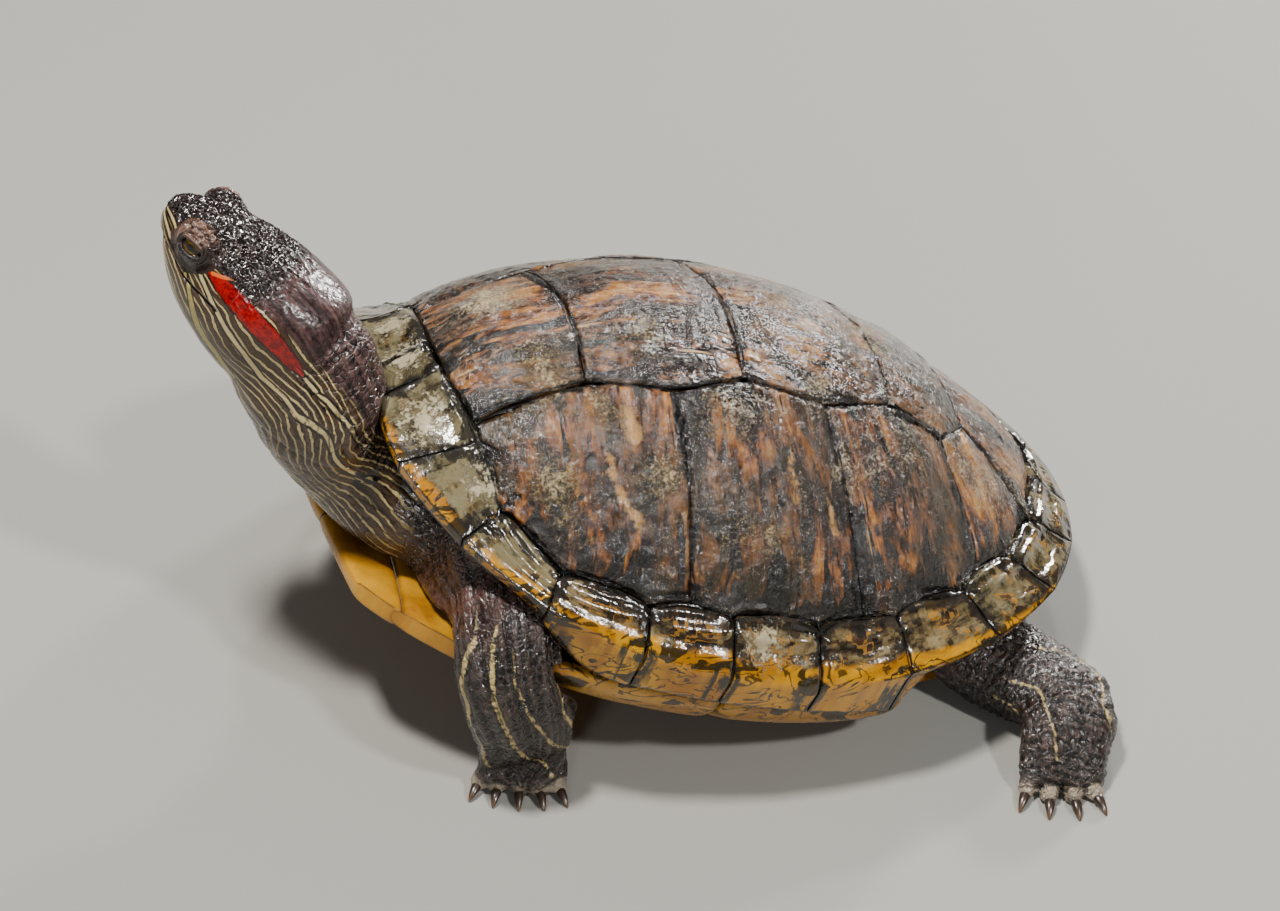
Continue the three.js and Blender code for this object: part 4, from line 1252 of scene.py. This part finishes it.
pattern_claw = model_claw()
claw_pieces = []
for foot in feet:
    copies = []
    for number, (root, ahead, length) in enumerate(toes[foot]):
        copy = bpy.data.objects.new(f"claw_{foot}_{number}", pattern_claw.data.copy())
        scene.collection.objects.link(copy)
        local = points_of(copy) / mm
        axes = np.stack([ahead, np.cross([0.0, 0.0, 1.0], ahead), [0, 0, 1]])
        place = root + ahead * (length - 1.0) + (local * (feet[foot][-1] / usual_girth)) @ axes
        place[:, 2] = np.maximum(place[:, 2], claw_clearance)
        set_points(copy, place * mm)
        write_fields(copy, reach=local[:, 0])
        copies.append(copy)
    claw_pieces.append(join(copies, "claws_" + foot))
    bpy.ops.object.shade_smooth()
bpy.data.objects.remove(pattern_claw)
print("claw sets", len(claw_pieces))

# %% [markdown]
# ## Finish of the dome
# The horn of the dome is wet, worn and old: brown ground with orange-brown streaks along the
# grain, black bars and blotches, tan scraped patches full of fine grit, and black seams.

# %% Dome horn
def paint(colour, *layers):
    """Lay further colours over a first one, each by its own share."""
    for share, layer in layers:
        colour = share.blend(colour, layer)
    return colour


def dome_horn():
    horn = Finish("wet worn horn of the dome")
    grain, rim, hollow = horn.field("grain", "Vector"), horn.field("rim"), horn.field("hollow")
    panels = horn.noise(grain, (0.085, 0.034, 1), 3, 0.55, 1.0)
    streaks = horn.noise(grain, (0.34, 0.085, 1), 5, 0.66, 1.0, (3, 1, 2))
    hairs = horn.noise(grain, (1.2, 0.26, 1), 5, 0.68, 0.5)
    mottle = horn.grains(240, 5, 0.72)
    tone = panels * 0.52 + hairs * 0.20 + streaks * 0.28 + mottle * 0.26
    film = horn.grains(30, 5, 0.65)
    bars = horn.noise(grain, (0.20, 0.045, 1), 4, 0.6, 0.6, (3, 7, 11))
    bars = bars + horn.field("low") * 0.10 + rim.between(0.6, 5.5, 0.085, 0.0)
    pale = horn.noise(grain, (0.42, 0.036, 1), 3, 0.5, 0.3, (8, 2, 5))
    ragged = horn.grains(420)
    stroke = ragged * 5.0 + horn.field("stroke")
    patches = horn.noise(grain, (0.09, 0.06, 1), 4, 0.6, 0.6, (9, 4, 2))
    grit = horn.grains(1300, 6, 0.8) + patches * 0.55 + ragged * 0.35 + horn.field("worn_spot") * 0.20
    worn = grit.between(1.05, 1.24, 0, 0.9)
    scraped = mottle.between(0.4, 0.6).blend((0.26, 0.19, 0.10), (0.50, 0.40, 0.23))
    uneven = ragged * 1.1 + rim
    ground = tone.between(0.50, 0.78).colours(
        (0.0, (0.007, 0.005, 0.004)), (0.25, (0.020, 0.011, 0.006)), (0.45, (0.052, 0.022, 0.008)),
        (0.62, (0.120, 0.041, 0.009)), (0.80, (0.22, 0.080, 0.012)), (1.0, (0.34, 0.170, 0.038)))
    colour = paint(
        ground, (film.between(0.45, 0.60, 0, 0.55), (0.036, 0.027, 0.014)),
        (bars.between(0.585, 0.63), (0.007, 0.006, 0.005)),
        (pale.between(0.69, 0.75, 0, 0.7), (0.38, 0.23, 0.085)),
        (stroke.between(2.2, 3.6, 0, 0.85), (0.37, 0.20, 0.055)),
        # painted shade: darker where the surface lies below its neighbours
        (hollow.between(0.05, 0.55, 0, 0.8), (0.010, 0.008, 0.008)),
        # painted highlight: lighter on convex edges
        (hollow.between(-0.3, -0.9, 0, 0.08), (0.30, 0.18, 0.08)),
        (worn, scraped), (uneven.between(0.80, 1.20, 1.0, 0.0), (0.005, 0.004, 0.004)))
    rough = horn.grains(350, 4, 0.7).between(0.35, 0.65, 0.11, 0.30) + worn * 0.12
    horn.surface(Base_Color=colour, Roughness=rough, Specular_IOR_Level=0.30, Coat_Weight=0.8,
                 Coat_Roughness=0.06)
    height = hairs * 0.7 + horn.grains(1300, 3, 0.7) * 0.25 + mottle * 0.5 + worn * 0.45
    height = height + uneven.between(0.6, 1.6) * 0.8 + horn.grains(300, 2, 0.5) * 2.4
    horn.relief(height, 0.50)
    return horn.material


dome_finish = dome_horn()
print(dome_finish.name)

# %% [markdown]
# ## Finish of the margin and the lower shell
# The margin is olive-brown above with dark smudges and a few amber figures, and turns
# yellow-orange at the rim and below, where the seams carry dark rings. The lower shell is
# plain amber with thin dark seams, and with dark figures on its bridge.

# %% Margin horn and plastron horn
def dark_figures(horn, scale, shift):
    """Dark contour lines and blotches, as a share, on yellow horn."""
    figure = horn.noise(horn.place, scale, 3, 0.5, 1.0, shift)
    contour = abs(figure - 0.53).between(0.008, 0.022, 0.85, 0.0)
    blotch = figure.between(0.41, 0.43, 0.95, 0.0)
    return contour.maximum(blotch)


def margin_horn():
    horn = Finish("glossy horn of the margin")
    grain, rim = horn.field("grain", "Vector"), horn.field("rim")
    yellow, ring, count = horn.field("margin", "Vector").parts()
    cloud = horn.noise(grain, (0.13, 0.13, 1), 5, 0.62, 0.8)
    fine_cloud = horn.noise(grain, (0.6, 0.5, 1), 5, 0.65, 0.5, (4, 4, 4))
    tone = fine_cloud * 0.4 + cloud * 0.7
    brown = tone.between(0.42, 0.70).colours(
        (0.0, (0.009, 0.007, 0.005)), (0.3, (0.030, 0.021, 0.011)), (0.52, (0.070, 0.049, 0.023)),
        (0.74, (0.125, 0.090, 0.040)), (1.0, (0.19, 0.145, 0.075)))
    olive = tone.between(0.46, 0.60).blend((0.040, 0.032, 0.015), (0.140, 0.118, 0.062))
    front = count.between(3.4, 2.2)
    pale = front.maximum(count.between(7.4, 8.4, 0, 0.6))
    amber = horn.noise(grain, (0.22, 0.22, 1), 3, 0.5, 0.8, (5, 1, 8))
    figure = abs(amber - 0.57).between(0.030, 0.012) * (front * -0.65 + 0.8)
    smudge = rim * -0.06 + amber
    upper = paint(
        brown, (pale * tone.between(0.42, 0.50), olive), (figure, (0.27, 0.125, 0.018)),
        (amber.between(0.60, 0.63, 0, 0.7), (0.050, 0.020, 0.008)),
        (smudge.between(0.34, 0.44, 0, 0.9), (0.010, 0.009, 0.008)))
    uneven_ring = fine_cloud * 3.0 + ring
    inner = uneven_ring.between(4.6, 5.4, 1, 0)
    hole = abs(uneven_ring - 3.9).between(0.25, 0.5)
    lower = paint(
        cloud.between(0.35, 0.65).blend((0.28, 0.110, 0.002), (0.47, 0.225, 0.004)),
        # painted shade: the yellow turns darker olive beyond the rim, on the under side
        (yellow.between(4.0, 8.0, 0, 0.7), (0.165, 0.095, 0.005)),
        (dark_figures(horn, (75, 110, 190), (1, 6, 3)), (0.020, 0.014, 0.005)),
        (inner * hole, (0.022, 0.018, 0.009)))
    edge = horn.noise(grain, (0.12, 0.10, 1), 1, 0.5, 0.5, (7, 3, 6)) * 5.0 + yellow
    ragged = horn.grains(420)
    grit = ragged * 0.7 + horn.grains(1200, 6, 0.8) + horn.field("worn_spot") * 0.38
    worn = grit.between(1.03, 1.12, 0, 0.8)
    uneven = ragged * 0.9 + rim
    colour = paint(
        upper, (edge.between(1.9, 3.3), lower), (worn, (0.36, 0.31, 0.19)),
        (uneven.between(0.60, 1.05, 1.0, 0.0), (0.006, 0.005, 0.004)))
    rough = horn.grains(300).between(0.35, 0.65, 0.09, 0.24) + worn * 0.2
    horn.surface(Base_Color=colour, Roughness=rough, Specular_IOR_Level=0.35, Coat_Weight=0.7,
                 Coat_Roughness=0.07)
    height = horn.grains(330) * 1.2 + worn + uneven.between(0.3, 1.2) * 0.7
    horn.relief(height, 0.24, 0.9)
    return horn.material


def plastron_horn():
    horn = Finish("amber horn of the lower shell")
    grain, rim = horn.field("grain", "Vector"), horn.field("rim")
    amber = horn.noise(grain, (0.05, 0.05, 1), 5, 0.6, 0.8).colours(
        (0.32, (0.20, 0.072, 0.002)), (0.46, (0.33, 0.140, 0.003)), (0.60, (0.43, 0.205, 0.006)),
        (0.75, (0.50, 0.27, 0.020)))
    figures = dark_figures(horn, (70, 100, 180), (2, 3, 1)) * horn.field("bridge")
    ragged = horn.grains(300)
    seam = (ragged * 0.9 + rim).between(0.45, 0.95, 0.9, 0.0)
    middle = (ragged * 0.6 + abs(grain.parts()[1])).between(0.45, 0.8, 0.9, 0.0)
    colour = paint(amber, (figures, (0.020, 0.014, 0.005)), (seam.maximum(middle), (0.045, 0.022, 0.008)))
    rough = horn.grains(200).between(0.3, 0.7, 0.22, 0.40)
    horn.surface(Base_Color=colour, Roughness=rough, Coat_Weight=0.3, Coat_Roughness=0.12,
                 Subsurface_Weight=0.08, Subsurface_Radius=(0.002, 0.001, 0.0004))
    horn.relief(horn.grains(180), 0.25, 0.5)
    return horn.material


margin_finish = margin_horn()
plastron_finish = plastron_horn()
print(margin_finish.name, "and", plastron_finish.name)

# %% [markdown]
# ## Finish of the skin
# Thin cream stripes with black borders follow the neck, the crown is black and wet, the rear
# of the head is purple-brown, and the red patch lies behind the eye. The legs are dark with
# pale lines, and the bare skin between neck, legs and shell is pinkish.

# %% Skin
def edged(line, edge, edge_colour, middle, middle_colour):
    """The two layers of a line and its dark border, each from its own range of the distance."""
    return (line.between(*edge), edge_colour), (line.between(*middle), middle_colour)


def leg_skin(hide, grains):
    """The colour of the legs, darkened in the furrows of their wrinkles as painted shade, and the height of
    their wrinkles.
    """
    brown = hide.grains(240, 5, 0.65).between(0.36, 0.64)
    wrinkle = hide.noise(hide.field("limb", "Vector"), (0.13, 0.045, 0), 4, 0.6, 0.8)
    line = grains * 0.9 + hide.field("leg_line")
    toe_tip = grains * 0.7 + hide.field("toe_end")
    colour = paint(
        brown.blend((0.006, 0.004, 0.003), (0.032, 0.019, 0.014)),
        # painted shade: darker where the wrinkle noise makes furrows in the relief
        (wrinkle.between(0.52, 0.42, 0, 0.85), (0.005, 0.004, 0.003)),
        *edged(line, (0.05, 0.30), (0.010, 0.007, 0.007), (0.40, 0.70), (0.40, 0.30, 0.115)),
        (toe_tip.between(0.62, 0.95, 0, 0.75), (0.34, 0.28, 0.20)))
    return colour, wrinkle


def head_skin(hide, flow, crown, grains, curls):
    """The colour of the head and the neck, without the lids."""
    wide = hide.grains(45, 2, 0.5)
    angle = curls * 9.0 + abs(flow.parts()[0]) + wide * 34.0
    stripe_width = 7.6
    wave = (angle * (2 * math.pi / stripe_width)).calculate("SINE") + grains * 0.45
    brown = hide.grains(260).blend((0.020, 0.011, 0.006), (0.075, 0.042, 0.020))
    cream = wide.between(0.38, 0.55).blend((0.22, 0.155, 0.055), (0.43, 0.34, 0.155))
    striped = paint(brown, *edged(wave, (0.25, 0.75), (0.006, 0.005, 0.004), (0.84, 1.02), cream))
    drawn = hide.noise(flow, (0.17, 0.06, 0), 5, 0.65, 0.6) + grains * 0.35
    purple = drawn.between(0.55, 0.82).blend((0.013, 0.007, 0.007), (0.085, 0.043, 0.040))
    main = curls * 0.6 + hide.field("cream")
    black = grains.blend((0.004, 0.003, 0.003), (0.016, 0.011, 0.010))
    jaw = curls * 0.8 + hide.field("jaw_stripe")
    patch = grains + hide.field("red")
    red = hide.grains(700, 4, 0.7).between(0.38, 0.6).blend((0.13, 0.001, 0.001), (0.30, 0.002, 0.002))
    return paint(
        purple, (hide.field("striped").between(-0.5, 0.5), striped),
        *edged(main, (-0.35, -0.05), (0.010, 0.008, 0.007), (0.18, 0.42), (0.48, 0.38, 0.18)),
        (crown.between(0.15, 0.6), black),
        *edged(jaw, (0.0, 0.3), (0.010, 0.009, 0.007), (0.45, 0.75), (0.36, 0.29, 0.075)),
        *edged(patch, (0.05, 0.30), (0.012, 0.006, 0.006), (0.45, 0.62), red),
        (hide.field("spur").between(-0.05, 0.2), (0.56, 0.12, 0.02)))


def body_skin():
    hide = Finish("wet striped skin")
    flow = hide.field("flow", "Vector")
    crown, rear, bare = hide.field("crown", "Vector").parts()
    hollow, neck = hide.field("hollow"), hide.field("neck_share")
    curls = hide.grains(170, 3, 0.55)
    grains = hide.grains(900, 4, 0.65)
    lid, lid_rise = hide.field("lid", "Vector").parts()[:2]
    on_lid = lid.between(-5.0, -4.0)
    lid_line_width = 0.8
    lid_line = (lid * (2 * math.pi / lid_line_width) + curls).calculate("SINE")
    # painted shade: the upper lid is darker in the furrows of its creases, the same waves as its relief
    upper_lid = lid_line.between(-0.6, 0.6).blend((0.060, 0.031, 0.023), (0.170, 0.095, 0.068))
    lower_lid = grains.blend((0.008, 0.006, 0.006), (0.050, 0.030, 0.024))
    head = paint(
        head_skin(hide, flow, crown, grains, curls),
        (on_lid, lid_rise.between(-0.8, 1.6).blend(lower_lid, upper_lid)),
        (lid.between(-0.75, -0.25), (0.008, 0.006, 0.006)),
        # painted shade: dark along the groove of the mouth
        (abs(hide.field("mouth")).between(0.15, 0.45, 1, 0), (0.007, 0.006, 0.005)))
    leg, wrinkle = leg_skin(hide, grains)
    rosy = curls.between(0.38, 0.6).blend((0.028, 0.009, 0.009), (0.13, 0.046, 0.038))
    colour = paint(
        leg, (neck, head), (bare.between(0.35, 0.95, 0, 0.55), rosy),
        # painted shade: darker where the skin lies below its neighbours
        (hollow.between(0.1, 0.8, 0, 0.75), (0.006, 0.005, 0.005)),
        # painted highlight: lighter on convex skin
        (hollow.between(-0.2, -0.9, 0, 0.10), (0.30, 0.22, 0.20)))
    rough = hide.grains(500).between(0.35, 0.65, 0.15, 0.36) + crown * -0.09 + rear * 0.08
    hide.surface(Base_Color=colour, Roughness=rough, Specular_IOR_Level=0.30,
                 Coat_Weight=rear * -0.35 + 0.5, Coat_Roughness=0.08,
                 Subsurface_Weight=0.05, Subsurface_Radius=(0.0012, 0.0005, 0.0003))
    scales = hide.node("ShaderNodeTexVoronoi", {"feature": "DISTANCE_TO_EDGE"}, "Distance",
                       Vector=hide.place, Scale=560.0)
    nape = rear * flow.parts()[1].between(*nape_start)
    beads = neck * -0.5 + 0.5 + nape * 0.8
    height = scales.between(0.0, 0.2) * beads + grains * 0.15 + on_lid * lid_line * 0.35 + wrinkle * 2.2
    glints = abs(hide.grains(210, 1, 0.5, 0.8) - 0.5) * crown
    hide.relief(height * (crown * -0.75 + 1.0) + glints * 6.0, 0.36)
    return hide.material


skin_finish = body_skin()
print(skin_finish.name)


# %% Eye and claw
def moist_eye():
    eye = Finish("moist eye")
    across, above = eye.field("iris", "Vector").parts()[:2]
    radius = (across * across + above * above).calculate("SQRT")
    iris = eye.grains(900, 4, 0.7).between(0.35, 0.65).blend((0.075, 0.038, 0.006), (0.34, 0.185, 0.025))
    colour = paint(
        iris, (abs(above).between(0.45, 0.75, 1, 0), (0.018, 0.010, 0.006)),
        (radius.between(0.80, 0.92, 1, 0), (0.002, 0.002, 0.002)),
        (radius.between(2.2, 2.6), (0.020, 0.013, 0.010)))
    eye.surface(Base_Color=colour, Roughness=0.10, Specular_IOR_Level=0.35, Coat_Weight=0.3,
                Coat_Roughness=0.02)
    return eye.material


def claw_horn():
    horn = Finish("dark amber claw horn")
    tone = horn.grains(700) * 2.0 + horn.field("reach")
    colour = tone.between(0.5, 7.0).colours(
        (0.0, (0.018, 0.012, 0.009)), (0.5, (0.036, 0.020, 0.012)), (1.0, (0.11, 0.062, 0.030)))
    horn.surface(Base_Color=colour, Roughness=0.28, Coat_Weight=0.3)
    horn.relief(horn.grains(500, 3, 0.5), 0.1, 0.5)
    return horn.material


eye_finish = moist_eye()
claw_finish = claw_horn()
print("finishes", len(bpy.data.materials))

# %% [markdown]
# ## Floor
# A plain grey floor carries the animal and its soft shadow.

# %% Lay the floor
floor_size = 8
bpy.ops.mesh.primitive_plane_add(size=floor_size, location=(0, 0, 0))
floor = bpy.context.active_object
floor.name = "floor"
floor_finish = Finish("plain floor")
floor_finish.surface(Base_Color=(0.27, 0.265, 0.245), Roughness=0.75)
floor.data.materials.append(floor_finish.material)

# %% [markdown]
# ## Join the frame
# Every piece rides on the one body of the still model, takes its finish, and hides the solids that it stands
# for.

# %% Ride, take the finishes and hide the solids
def settle(piece, material, nodes):
    piece.data.materials.clear()
    piece.data.materials.append(material)
    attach(piece, "root")
    if nodes:
        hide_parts(*nodes)


for pieces, material, slot in ((dome_pieces, dome_finish, "carapace"),
                               (margin_pieces, margin_finish, "margin"),
                               (plastron_pieces, plastron_finish, "plastron"),
                               (eye_pieces, eye_finish, "eye")):
    for piece, node in pieces:
        select_only(piece)
        bpy.ops.object.shade_smooth_by_angle(angle=math.radians(40))
        settle(piece, material, [node])
settle(skin, skin_finish, flesh_nodes)
for claws in claw_pieces:
    settle(claws, claw_finish, [])
shown = [p for p in scene.objects if p.type == "MESH" and not p.hide_render and p is not floor]
print("triangles in all", sum(triangles_of(piece) for piece in shown))
